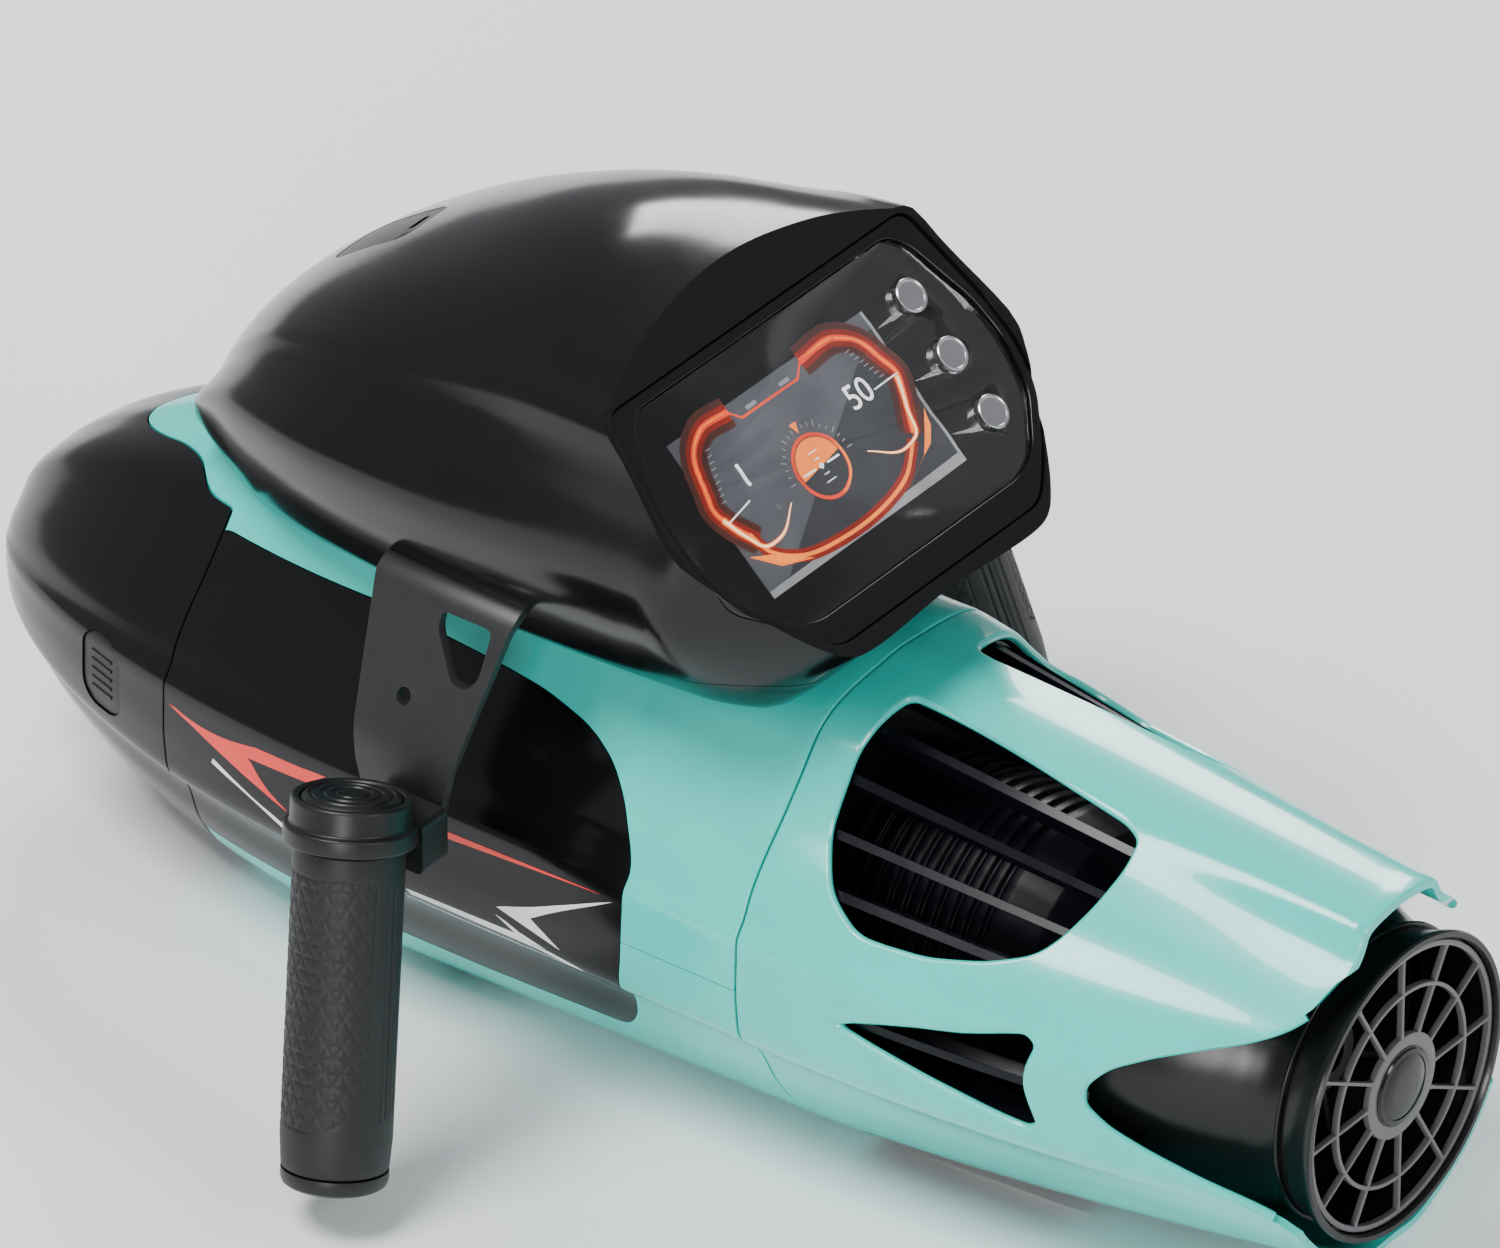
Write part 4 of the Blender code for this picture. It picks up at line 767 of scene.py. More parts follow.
def rounded_box(width: float, height: float, corner: float, steps: int = 6) -> list[Pair]:
    """The outline of a rectangle with rounded corners, about its own centre."""
    points = []
    for quarter, (u, v) in enumerate(((1, 1), (-1, 1), (-1, -1), (1, -1))):
        for step in range(steps + 1):
            turn = math.pi / 2 * (quarter + step / steps)
            points.append((u * (width / 2 - corner) + corner * math.cos(turn),
                           v * (height / 2 - corner) + corner * math.sin(turn)))
    return points


@dataclass
class FrontHull:
    """The two teal shells between the seams, their tongue, and the black panels let into their sides."""

    hull: HullForm
    wall: float = 0.0050
    parting: float = 0.0730
    recess: float = 0.0027
    panel: float = 0.0022
    nose_wall: float = 0.0040

    def build(self) -> None:
        """Builds and dresses the shells, panels and prints."""
        self.shells()
        for side in Side:
            self.side_panel(side)
            self.prints(side)

    def shells(self) -> None:
        """Upper and lower shells, each with half of both recesses."""
        hull = self.hull
        outline = softened(SIDE_PANEL, 0.0060, 4, closed=True)
        for name, low, high in (("hull_shell_upper", self.parting + GAP / 2, 0.3),
                                ("hull_shell_lower", -0.1, self.parting - GAP / 2)):
            body = thing(name + "_form", hull.shell(hull.mid_seam + GAP, hull.front_seam - GAP, self.wall))
            box = rounded_box(0.4, 0.6, 0.001, 1)
            carve(body, prism("half", box, Vector(), ACROSS, ALONG, UP, low, high), "INTERSECT")
            for side in Side:
                cutter = thing("recess", side_cutter(outline, side))
                carve(cutter, hull.solid(-0.1, 0.165, self.recess))
                carve(body, taken_mesh(cutter))
            if low > 0:
                carve(body, self.tongue(), "UNION")
            finish(body, TEAL, "hull", [name], hull.skin)

    def tongue(self) -> bpy.types.Mesh:
        """The tongue that runs forwards over the nose."""
        hull = self.hull
        body = thing("tongue", hull.solid(0.1300, 0.2300))
        carve(body, prism("outline", tongue_outline(), Vector(), ALONG, ACROSS, UP, 0.1, 0.17), "INTERSECT")
        carve(body, hull.solid(0.1200, 0.2350, self.nose_wall))
        return taken_mesh(body)

    def side_panel(self, side: Side) -> None:
        """The gloss black panel of one side."""
        hull = self.hull
        name = f"side_panel_{side.word}"
        body = thing(name + "_form", hull.solid(hull.mid_seam, hull.front_seam - GAP))
        outline = softened(grown(SIDE_PANEL, -GAP), 0.0058, 4, closed=True)
        carve(body, side_cutter(outline, side), "INTERSECT")
        carve(body, hull.solid(-0.1, 0.165, self.panel))
        finish(body, GLOSS_BLACK, "hull", [name], hull.skin)

    def prints(self, side: Side) -> None:
        """The red and white speed marks on one panel."""
        marks = {
            "front_barb": (PRINT_RED, [(0.1446, 0.0832), (0.0777, 0.0866), (0.0852, 0.0816), (0.1097, 0.0800),
                                       (0.0937, 0.0672)]),
            "front_line": (PRINT_WHITE, [(0.1246, 0.0729), (0.0955, 0.0613), (0.0962, 0.0598), (0.1253, 0.0712)]),
            "rear_dart": (PRINT_RED, [(0.0367, 0.0858), (-0.0283, 0.0870), (0.0374, 0.0830)]),
            "rear_band": (PRINT_WHITE, [(0.0475, 0.0573), (0.0049, 0.0586), (0.0121, 0.0627), (-0.0202, 0.0541),
                                        (0.0530, 0.0500)]),
            "rear_barb": (PRINT_WHITE, [(0.0116, 0.0660), (-0.0331, 0.0859), (-0.0014, 0.0671),
                                        (-0.0122, 0.0595)]),
        }
        point = self.hull.side_point(side)
        for name, (look, outline) in marks.items():
            mesh = slab(name, outline, point, -0.00008, 0.00012, 0.004)
            finish(thing(f"{name}_{side.word}", mesh), look, "hull")


@dataclass
class NoseCap:
    """The lift-off nose with its latch buttons, and the lamp in the tongue."""

    hull: HullForm
    wall: float = 0.0040
    latch: Pair = (0.1785, 0.0765)
    latch_size: Pair = (0.0190, 0.0260)
    lamp_y: float = 0.1990

    def build(self) -> None:
        """Builds and dresses the nose."""
        hull = self.hull
        start = hull.front_seam + GAP
        stations = hull.stations(start + 0.0006, hull.nose_tip - 0.0001)
        outer = [hull.ring(start, 0.0006), hull.ring(start + 0.0002, 0.0002)] + [hull.ring(y) for y in stations]
        inner = [hull.ring(y, self.wall) for y in hull.stations(start, hull.nose_tip - 0.009)]
        cap = thing("nose_form", loft("nose", inner[::-1] + outer))
        slot = grown(tongue_outline(), 2 * GAP)
        carve(cap, prism("slot", slot, Vector(), ALONG, ACROSS, UP, 0.1, 0.18))
        for side in Side:
            self.latch_button(side, cap)
        finish(cap, GLOSS_BLACK, "nose", ["nose_cap"], hull.skin)
        self.lamp()

    def latch_button(self, side: Side, cap: bpy.types.Object) -> None:
        """One latch button, and the hole it sits in."""
        place = [(self.latch[0] + u, self.latch[1] + v) for u, v in rounded_box(*self.latch_size, 0.0070, 8)]
        carve(cap, side_cutter(grown(place, GAP), side))
        button = thing(f"latch_{side.word}_form", self.hull.solid(0.160, 0.200, 0.0006))
        carve(button, side_cutter(place, side, inner=0.06), "INTERSECT")
        rounded(button, 0.0006, 3, 50)
        ribs = []
        for k in range(-2, 3):
            line = [(self.latch[0] - 0.0050, self.latch[1] + k * 0.0032),
                    (self.latch[0] + 0.0050, self.latch[1] + k * 0.0032)]
            path = [self.hull.side_point(side)(*(Vector(line[0]).lerp(Vector(line[1]), t / 6)), -0.0007)
                    for t in range(7)]
            ribs.append(bead("rib", path, 0.0006, closed=False))
        add(button, *ribs)
        finish(button, SATIN_BLACK, f"latch_{side.word}", [f"latch_button_{side.word}"])

    def lamp(self) -> None:
        """The lamp's lens: a rounded window, curved with the hull."""
        hull = self.hull
        place = [(self.lamp_y + u, v) for u, v in rounded_box(0.0150, 0.0100, 0.0040, 8)]
        lens = thing("lamp_form", hull.solid(0.1850, 0.2130, 0.0003))
        carve(lens, prism("lens", place, Vector(), ALONG, ACROSS, UP, 0.1, 0.2), "INTERSECT")
        carve(lens, hull.solid(0.1750, 0.2200, 0.0033))
        rounded(lens, 0.0008, 3, 50)
        finish(lens, LENS, "hull", ["headlight_lens"])


@dataclass
class Tail:
    """The teal rear shell with its windows, the cage behind them and the motor inside."""

    hull: HullForm
    wall: float = 0.0030
    tilt: float = math.radians(40)
    rib_pitch: float = 13.0
    upper_window: list[Pair] = field(default_factory=lambda: [
        (-0.0950, 0.0410), (-0.0930, 0.0130), (-0.0945, -0.0100), (-0.1040, -0.0275), (-0.1180, -0.0365),
        (-0.1420, -0.0340), (-0.1610, -0.0275), (-0.1750, -0.0190), (-0.1845, 0.0015), (-0.1885, 0.0160),
        (-0.1880, 0.0265), (-0.1805, 0.0308)])
    dart: list[Pair] = field(default_factory=lambda: [
        (-0.1165, 0.0765), (-0.1225, 0.0795), (-0.1480, 0.0870), (-0.1800, 0.0945), (-0.1865, 0.0915),
        (-0.1830, 0.0790), (-0.1884, 0.0640), (-0.1840, 0.0605), (-0.1500, 0.0665), (-0.1200, 0.0735)])
    teardrop: list[Pair] = field(default_factory=lambda: [
        (-0.2800, 0.0380), (-0.2640, 0.0450), (-0.2500, 0.0531), (-0.2325, 0.0603), (-0.2190, 0.0654),
        (-0.2074, 0.0712), (-0.2020, 0.0765), (-0.2015, 0.0806), (-0.2060, 0.0893), (-0.2158, 0.0948),
        (-0.2320, 0.1011), (-0.2478, 0.1071), (-0.2552, 0.1111), (-0.2602, 0.1158), (-0.2635, 0.1225),
        (-0.2800, 0.1300)])
    keel_window: list[Pair] = field(default_factory=lambda: [
        (-0.1000, 0.0130), (-0.1000, 0.0480), (-0.1640, 0.0420), (-0.1720, 0.0350), (-0.1740, 0.0130)])

    def build(self) -> None:
        """Builds and dresses the tail."""
        self.shell()
        self.cage()
        self.motor()

    def shell(self) -> None:
        """The rear shell, with a rounded lip round the upper, dart and teardrop windows."""
        hull = self.hull
        body = thing("rear_shell_form", hull.shell(hull.shell_end, hull.mid_seam - GAP, self.wall, 0.0008))
        lips = []
        for side in Side:
            inward, up = self.tilted(side)
            upper = softened(self.upper_window, 0.0060, 5, closed=True)
            origin = Vector((0, 0, AXIS_Z))
            carve(body, prism("upper window", upper, origin, ALONG, inward, up, 0.03, 0.12))
            lips.append([hull.skin.drop(origin + ALONG * y + inward * u + up * 0.2, -up, -self.wall / 2)
                         for y, u in refine(upper, 0.003)])
            dart = softened(self.dart, 0.0045, 5, closed=True)
            carve(body, side_cutter(dart, side, outer=0.14))
            point = hull.side_point(side)
            lips.append([point(y, z, -self.wall / 2) for y, z in refine(dart, 0.003)])
            drop = [tuple(p) for p in refine(self.teardrop, 0.003, closed=False)]
            carve(body, side_cutter(drop, side, inner=0.02, outer=0.14))
            keel = softened(self.keel_window, 0.006, 5, closed=True)
            carve(body, prism("keel window", keel, Vector(), ALONG, ACROSS * side.value, UP, -0.03, 0.03))
        add(body, *[bead("lip", path, self.wall / 2) for path in lips])
        finish(body, TEAL, "hull", ["rear_shell"], hull.skin)
        for side in Side:
            point = hull.side_point(side)
            path = [point(y, z, -self.wall / 2) for y, z in refine(self.teardrop, 0.002, closed=False)
                    if y > hull.shell_end + 0.007]
            lip = thing(f"teardrop_lip_{side.word}", bead("lip", path, self.wall / 2, closed=False))
            finish(lip, TEAL, "hull")

    def tilted(self, side: Side) -> tuple[Vector, Vector]:
        """Directions across the upper window, towards the spine and outwards."""
        inward = Vector((-side.value * math.cos(self.tilt), 0, math.sin(self.tilt)))
        return inward, Vector((side.value * math.sin(self.tilt), 0, math.cos(self.tilt)))

    def bar(self, middle: float, half: float, start: float, end: float) -> bpy.types.Mesh:
        """A rounded rib of the cage, along the hull.

        Args:
            middle: its angle from the spine, in degrees.
            half: half of its width, in degrees.
            start: its rear station.
            end: its front station.

        Returns:
            The mesh.
        """
        corners = [(-1, 0.10), (-1, 0.0), (1, 0.0), (1, 0.10)]
        section = softened(corners, 0.05 if half < 2 else 0.02, 3, closed=True)
        rows = []
        for y in np.linspace(start, end, 26):
            row = []
            for across, deep in section:
                turn = math.radians(middle + half * across)
                way = Vector((math.sin(turn), 0, math.cos(turn)))
                hit = self.hull.skin.drop(Vector((0, y, AXIS_Z)), way)
                radius = ((hit - Vector((0, y, AXIS_Z))).length - 0.0040) * (1 - deep)
                row.append(Vector((0, y, AXIS_Z)) + way * radius)
            rows.append(row)
        return loft("rib", rows)

    def cage(self) -> None:
        """Two hoops joined by ribs, under the windows."""
        hull = self.hull
        hoops = []
        for start, end in ((-0.1955, -0.1895), (-0.0915, -0.0865)):
            rows = [hull.ring(y, 0.0040 + (0.0006 if edge else 0)) for y, edge in
                    ((start, 1), (start + 0.0006, 0), (end - 0.0006, 0), (end, 1))]
            rows += [hull.ring(y, 0.0036, 0.90) for y in (end, start)]
            hoops.append(loft("hoop", rows, joined=True))
        cage = thing("intake_cage", hoops[0])
        add(cage, hoops[1], self.bar(0, 8.2, -0.192, -0.089), self.bar(180, 3.2, -0.192, -0.089))
        for turn in (1, -1):
            add(cage, *[self.bar(turn * (8 + self.rib_pitch * i), 1.15, -0.192, -0.089) for i in range(1, 14)])
        finish(cage, CAGE_BLACK, "hull", ["intake_grille"])

    def motor(self) -> None:
        """The motor's finned housing, which shows between the ribs."""
        profile = [(0.0115, -0.1920), (0.0170, -0.1920), (0.0230, -0.1830), (0.0340, -0.1700), (0.0420, -0.1570)]
        fins = []
        for k in range(10):
            y = -0.1440 + k * 0.0056
            fins += [(0.0450, y), (0.0450, y + 0.0034), (0.0436, y + 0.0038), (0.0436, y + 0.0052)]
        outline = softened([*profile, *fins, (0.0450, -0.0860), (0.0125, -0.0860), (0.0125, -0.0900),
                            (0.0410, -0.0900), (0.0410, -0.1440), (0.0300, -0.1680), (0.0115, -0.1820)], 0.0007,
                           3, closed=True)
        mesh = lathe("motor", outline, Vector((0, 0, AXIS_Z)), ALONG, 96, ring=True)
        finish(thing("motor_body", mesh), HOUSING_BLACK, "hull", ["motor_housing"])


@dataclass
class JetPump:
    """Nozzle, outlet grille and hub cap behind the hull, and the impeller inside."""

    outside: list[tuple[float, float, float]] = field(default_factory=lambda: [
        (-0.1985, 0.0640, 0.0555), (-0.2100, 0.0612, 0.0550), (-0.2200, 0.0582, 0.0540),
        (-0.2320, 0.0535, 0.0522), (-0.2430, 0.0485, 0.0485), (-0.2520, 0.0462, 0.0462),
        (-0.2600, 0.0470, 0.0470), (-0.2660, 0.0492, 0.0492), (-0.2684, 0.0500, 0.0500),
        (-0.2692, 0.0496, 0.0496)])
    inside: list[tuple[float, float, float]] = field(default_factory=lambda: [
        (-0.2692, 0.0479, 0.0479), (-0.2680, 0.0473, 0.0473), (-0.2645, 0.0472, 0.0472),
        (-0.2643, 0.0450, 0.0450), (-0.2560, 0.0432, 0.0432), (-0.2420, 0.0455, 0.0455),
        (-0.2300, 0.0500, 0.0485), (-0.2100, 0.0580, 0.0520), (-0.1985, 0.0610, 0.0525)])
    spokes: int = 12
    plane: Pair = (-0.2677, -0.2655)

    def build(self) -> None:
        """Builds and dresses the pump."""
        self.nozzle()
        self.grille()
        self.impeller()

    def nozzle(self) -> None:
        """The black cone and its flared rim."""
        outer = refine(self.outside, 0.0016, closed=False)
        inner = refine(self.inside[3:], 0.0025, closed=False)
        rows = []
        for y, wide, high in [*outer, *self.inside[:3], *inner]:
            turns = [2 * math.pi * i / 120 for i in range(120)]
            rows.append([Vector((wide * math.sin(t), y, AXIS_Z + high * math.cos(t))) for t in turns])
        body = thing("nozzle_form", loft("nozzle", rows, joined=True))
        collar = [(0.0478, -0.2560), (0.0482, -0.2552), (0.0474, -0.2544), (0.0462, -0.2548), (0.0462, -0.2560)]
        collar = softened(collar, 0.0004, 2, True)
        add(body, lathe("collar", collar, Vector((0, 0, AXIS_Z)), ALONG, 96, ring=True))
        finish(body, NOZZLE_BLACK, "hull", ["outlet_nozzle"])

    def hoop(self, low: float, high: float) -> bpy.types.Mesh:
        """A thin hoop of the grille between two radii."""
        back, front = self.plane
        corners = [(low, back), (high, back), (high, front), (low, front)]
        outline = softened(corners, 0.0004, 2, closed=True)
        return lathe("hoop", outline, Vector((0, 0, AXIS_Z)), ALONG, 96, ring=True)

    def grille(self) -> None:
        """Spokes and hoops, with a dished hub and its domed cap."""
        back, front = self.plane
        body = thing("grille_form", self.hoop(0.0448, 0.0467))
        add(body, self.hoop(0.0320, 0.0334), self.hoop(0.0120, 0.0173))
        middle = Vector((0, (back + front) / 2, AXIS_Z))
        for k in range(self.spokes):
            turn = 2 * math.pi * k / self.spokes
            way = Vector((math.sin(turn), 0, math.cos(turn)))
            across = Vector((math.cos(turn), 0, -math.sin(turn)))
            rows = []
            for radius, width in ((0.0165, 0.0009), (0.0200, 0.00062), (0.0430, 0.00062), (0.0455, 0.0009)):
                section = softened([(-width, -0.0011), (width, -0.0011), (width, 0.0011), (-width, 0.0011)],
                                   0.0005, 2, closed=True)
                rows.append([middle + way * radius + across * a + ALONG * b for a, b in section])
            add(body, loft("spoke", rows))
        finish(body, GRILLE_GREY, "hull", ["outlet_grille"])
        cap = [(0.0002, RIM_Y), (0.0060, RIM_Y + 0.0001), (0.0098, RIM_Y + 0.0006), (0.0106, RIM_Y + 0.0010),
               (0.0108, RIM_Y + 0.0007), (0.0122, RIM_Y + 0.0010), (0.0130, RIM_Y + 0.0018),
               (0.0130, back - GAP)]
        mesh = lathe("cap", cap, Vector((0, 0, AXIS_Z)), ALONG, 72)
        finish(thing("hub_cap_form", mesh), GLOSS_BLACK, "hull", ["grille_hub_cap"])

    def impeller(self) -> None:
        """The hub and its twisted blades."""
        hub = [(0.0056, -0.2160), (0.0150, -0.2160), (0.0160, -0.2150), (0.0160, -0.1958), (0.0154, -0.1950),
               (0.0056, -0.1950)]
        origin = Vector((0, 0, AXIS_Z))
        body = thing("impeller_form", lathe("hub", hub, origin, ALONG, 72, ring=True))
        for blade in range(4):
            rows = []
            for radius in np.linspace(0.0150, 0.0452, 14):
                row = []
                for along, thick in ((-0.0080, 0.0), (-0.0040, 0.0009), (0, 0.0011), (0.0040, 0.0009),
                                     (0.0080, 0.0), (0.0040, -0.0009), (0, -0.0011), (-0.0040, -0.0009)):
                    turn = 2 * math.pi * blade / 4 + (along / 0.0080 * 0.75 * 0.5) + thick / radius
                    y = -0.2055 + along + (radius - 0.0150) * 0.02
                    row.append(origin + Vector((radius * math.sin(turn), y, radius * math.cos(turn))))
                rows.append(row)
            add(body, loft("blade", rows))
        finish(body, STEEL, "rotor", ["impeller"])


# ---------------------------------------------------------------- display pod


@dataclass
class FacePlane:
    """The display's plane, which leans back towards the nose."""

    centre: Vector = field(default_factory=lambda: Vector((0, -0.0573, 0.2200)))
    tilt: float = math.radians(43.5)
    screen_size: Pair = (0.0952, 0.0551)
    screen_middle: float = -0.0093

    def __post_init__(self) -> None:
        """Works out the directions down the plane and out of it."""
        self.down = Vector((0, -math.cos(self.tilt), -math.sin(self.tilt)))
        self.out = Vector((0, -math.sin(self.tilt), math.cos(self.tilt)))

    def point(self, u: float, v: float, out: float = 0.0) -> Vector:
        """A place (across, down) at a height above the plane."""
        return self.centre + ACROSS * u + self.down * v + self.out * out

    def on_screen(self, u: float, v: float, out: float) -> Vector:
        """A place given in shares of the screen's width and height."""
        width, height = self.screen_size
        return self.point(self.screen_middle + (u - 0.5) * width, (v - 0.5) * height, out)

    def plate(self, name: str, outline: Sequence[Pair], low: float, high: float) -> bpy.types.Mesh:
        """An outline on the plane between two heights."""
        return prism(name, outline, self.centre, ACROSS, self.down, self.out, low, high)


def mirrored(half: Sequence[Pair]) -> list[Pair]:
    """A half outline with its mirror image."""
    return [*half, *[(-u, v) for u, v in half[::-1]]]


@dataclass
class DisplayPod:
    """The black pod: cover, tray, bezel, glass, screen and its three keys."""

    face: FacePlane
    hull: HullForm
    split: float = 0.1720
    rim_out: float = 0.0015
    crown: list[Pair] = field(default_factory=lambda: [
        (0.1735, 0.1570), (0.1675, 0.1745), (0.1585, 0.1890), (0.1445, 0.2055), (0.1260, 0.2210),
        (0.1025, 0.2365), (0.0800, 0.2490), (0.0500, 0.2620), (0.0200, 0.2685), (-0.0100, 0.2660),
        (-0.0400, 0.2600), (-0.1150, 0.2600)])
    shoulder_x: list[Pair] = field(default_factory=lambda: [
        (0.1735, 0.0100), (0.1675, 0.0200), (0.1585, 0.0280), (0.1445, 0.0370), (0.1260, 0.0470),
        (0.1025, 0.0550), (0.0800, 0.0605), (0.0500, 0.0655), (0.0200, 0.0700), (-0.0100, 0.0750),
        (-0.0400, 0.0775), (-0.1150, 0.0775)])
    shoulder_z: list[Pair] = field(default_factory=lambda: [
        (0.1735, 0.1520), (0.1675, 0.1660), (0.1585, 0.1790), (0.1445, 0.1950), (0.1260, 0.2100),
        (0.1025, 0.2215), (0.0800, 0.2290), (0.0500, 0.2370), (0.0200, 0.2445), (-0.0100, 0.2500),
        (-0.0400, 0.2520), (-0.1150, 0.2520)])
    wide_x: list[Pair] = field(default_factory=lambda: [
        (0.1735, 0.0180), (0.1675, 0.0320), (0.1585, 0.0430), (0.1445, 0.0540), (0.1260, 0.0655),
        (0.1025, 0.0755), (0.0800, 0.0815), (0.0500, 0.0855), (0.0200, 0.0872), (-0.0100, 0.0882),
        (-0.0400, 0.0887), (-0.0575, 0.0884), (-0.0680, 0.0800), (-0.0955, 0.0590), (-0.1150, 0.0400)])
    wide_z: list[Pair] = field(default_factory=lambda: [
        (0.1735, 0.1480), (0.1585, 0.1720), (0.1260, 0.1900), (0.0800, 0.1990), (0.0200, 0.2020),
        (-0.0400, 0.2040), (-0.1150, 0.2040)])
    floor_x: list[Pair] = field(default_factory=lambda: [
        (0.1735, 0.0060), (0.1585, 0.0250), (0.1260, 0.0430), (0.0800, 0.0560), (0.0200, 0.0610),
        (-0.0400, 0.0610), (-0.0680, 0.0580), (-0.0955, 0.0510), (-0.1150, 0.0300)])
    floor_z: list[Pair] = field(default_factory=lambda: [
        (0.1735, 0.1440), (0.1585, 0.1440), (0.1260, 0.1440), (0.0800, 0.1500), (-0.0500, 0.1565),
        (-0.0700, 0.1580), (-0.0820, 0.1670), (-0.0955, 0.1800), (-0.1150, 0.1950)])
    bezel: list[Pair] = field(default_factory=lambda: [
        (0.0735, -0.0455), (0.0800, -0.0100), (0.0805, 0.0080), (0.0765, 0.0225), (0.0630, 0.0395),
        (0.0505, 0.0510)])
    glass: list[Pair] = field(default_factory=lambda: [
        (0.0615, -0.0415), (0.0670, -0.0360), (0.0762, -0.0100), (0.0775, 0.0050), (0.0735, 0.0210),
        (0.0600, 0.0370), (0.0500, 0.0408)])
    key_u: float = 0.0560
    keys: tuple[float, float, float] = (-0.0226, -0.0011, 0.0204)
    key_radius: float = 0.0057
    key_sectors: int = 14
    accessory_y: float = 0.1150

    def build(self) -> None:
        """Builds and dresses the pod."""
        self.skin = Skin(self.form())
        self.shells()
        self.accessory()
        self.front()
        for number, v in enumerate(self.keys, 1):
            self.key(number, v)
        ScreenPicture(self.face).build()

    @staticmethod
    def read(table: Sequence[Pair], y: float) -> float:
        """A value between (y, value) points, on a smooth curve through them."""
        if y >= table[0][0]:
            return table[0][1]
        for i in range(len(table) - 1):
            (y0, a), (y1, b) = table[i], table[i + 1]
            if y >= y1:
                before, after = table[max(0, i - 1)], table[min(len(table) - 1, i + 2)]
                first, last = (b - before[1]) / (y1 - before[0]), (after[1] - a) / (after[0] - y0)
                t, run = (y - y0) / (y1 - y0), y1 - y0
                return ((2 * t**3 - 3 * t**2 + 1) * a + (t**3 - 2 * t**2 + t) * run * first
                        + (3 * t**2 - 2 * t**3) * b + (t**3 - t**2) * run * last)
        return table[-1][1]

    def half(self, y: float) -> np.ndarray:
        """The pod's half section at a station, from crown to floor, as (x, z)."""
        crown, wide_x, wide_z = self.read(self.crown, y), self.read(self.wide_x, y), self.read(self.wide_z, y)
        edge_x, edge_z = self.read(self.shoulder_x, y), self.read(self.shoulder_z, y)
        floor_x, floor_z = self.read(self.floor_x, y), self.read(self.floor_z, y)
        mid_x, mid_z = (edge_x + wide_x) / 2, (edge_z + wide_z) / 2
        drop = crown - edge_z
        return np.array([
            (0, crown), (0.35 * edge_x, crown - 0.10 * drop), (0.68 * edge_x, crown - 0.38 * drop),
            (0.90 * edge_x, crown - 0.76 * drop), (edge_x, edge_z),
            (edge_x + 0.25 * (mid_x - edge_x), edge_z + 0.35 * (mid_z - edge_z)), (mid_x, mid_z),
            (wide_x, wide_z + 0.12 * (mid_z - wide_z)), (0.985 * wide_x, wide_z - 0.18 * (wide_z - floor_z)),
            (floor_x + 0.62 * (wide_x - floor_x), wide_z - 0.62 * (wide_z - floor_z)),
            (floor_x + 0.22 * (wide_x - floor_x), floor_z + 0.08 * (wide_z - floor_z)),
            (floor_x, floor_z), (0, floor_z)])

    def ring(self, y: float, depth: float = 0.0) -> np.ndarray:
        """The whole smooth section at a station, moved inwards by a depth."""
        half = self.half(y)
        whole = np.vstack([half, half[-2:0:-1] * (-1, 1)])
        flat = inward(self.weights @ whole, depth)
        return np.column_stack([flat[:, 0], np.full(len(flat), y), flat[:, 1]])

    def form(self, depth: float = 0.0) -> bpy.types.Mesh:
        """The pod as one closed body, with a rounded tip."""
        half = self.half(0.02)
        spans = span_lengths(np.vstack([half, half[-2:0:-1] * (-1, 1)]), True)
        self.weights = blend_weights(spans, [max(2, round(s / 0.0032)) for s in spans], True)
        steps = [*np.arange(-0.1150, 0.1500, 0.0045), *np.arange(0.1515, 0.1734, 0.0018), 0.1735]
        rows = [self.ring(y, depth) for y in steps]
        middle = rows[-1].mean(axis=0)
        for share, ahead in ((0.82, 0.0008), (0.5, 0.0013), (0.1, 0.0015)):
            rows.append(middle + (rows[-1] - middle) * share + (0, ahead * 0.4, 0))
        return loft("pod", rows)

    def shells(self) -> None:
        """Cover and tray: one body cut by the display's plane and split along the seam."""
        face, far = self.face, rounded_box(0.5, 0.5, 0.001, 1)
        halves = (("pod_upper_cover", self.split, 0.4), ("pod_lower_tray", 0.0, self.split - GAP))
        for name, low, high in halves:
            body = thing(name + "_form", self.form())
            carve(body, face.plate("beyond", far, self.rim_out, 0.3))
            carve(body, prism("half", far, Vector(), ACROSS, ALONG, UP, low, high), "INTERSECT")
            seat = softened(grown(mirrored(self.bezel), GAP), 0.006, 5, closed=True)
            carve(body, face.plate("seat", seat, -0.0115, 0.02))
            hull = [self.hull.ring(y, -2 * GAP) for y in self.hull.stations(-0.1, self.hull.front_seam)]
            hull += [np.column_stack([hull[-1][:, 0], np.full(len(hull[-1]), 0.25), hull[-1][:, 2]])]
            carve(body, loft("clearance", hull))
            if low > 0:
                outline = [(self.accessory_y + v, u) for u, v in rounded_box(0.0246, 0.0306, 0.0063, 8)]
                carve(body, prism("socket", outline, Vector(), ALONG, ACROSS, UP, 0.21, 0.29))
            rounded(body, 0.0005, 2, 60)
            finish(body, GLOSS_BLACK, "hull", [name], self.skin)

    def accessory(self) -> None:
        """The flush cover over the socket on the crown, with a finger notch."""
        outline = [(self.accessory_y + v, u) for u, v in rounded_box(0.0240, 0.0300, 0.0060, 8)]
        plug = thing("accessory_form", self.form(0.0002))
        carve(plug, prism("plug", outline, Vector(), ALONG, ACROSS, UP, 0.19, 0.29), "INTERSECT")
        carve(plug, self.form(0.0032))
        notch = [(self.accessory_y - 0.0110 + v, u) for u, v in rounded_box(0.0090, 0.0024, 0.0011, 5)]
        carve(plug, prism("notch", notch, Vector(), ALONG, ACROSS, UP, 0.2315, 0.29))
        rounded(plug, 0.0004, 2, 55)
        finish(plug, SATIN_BLACK, "hull", ["accessory_cover"])

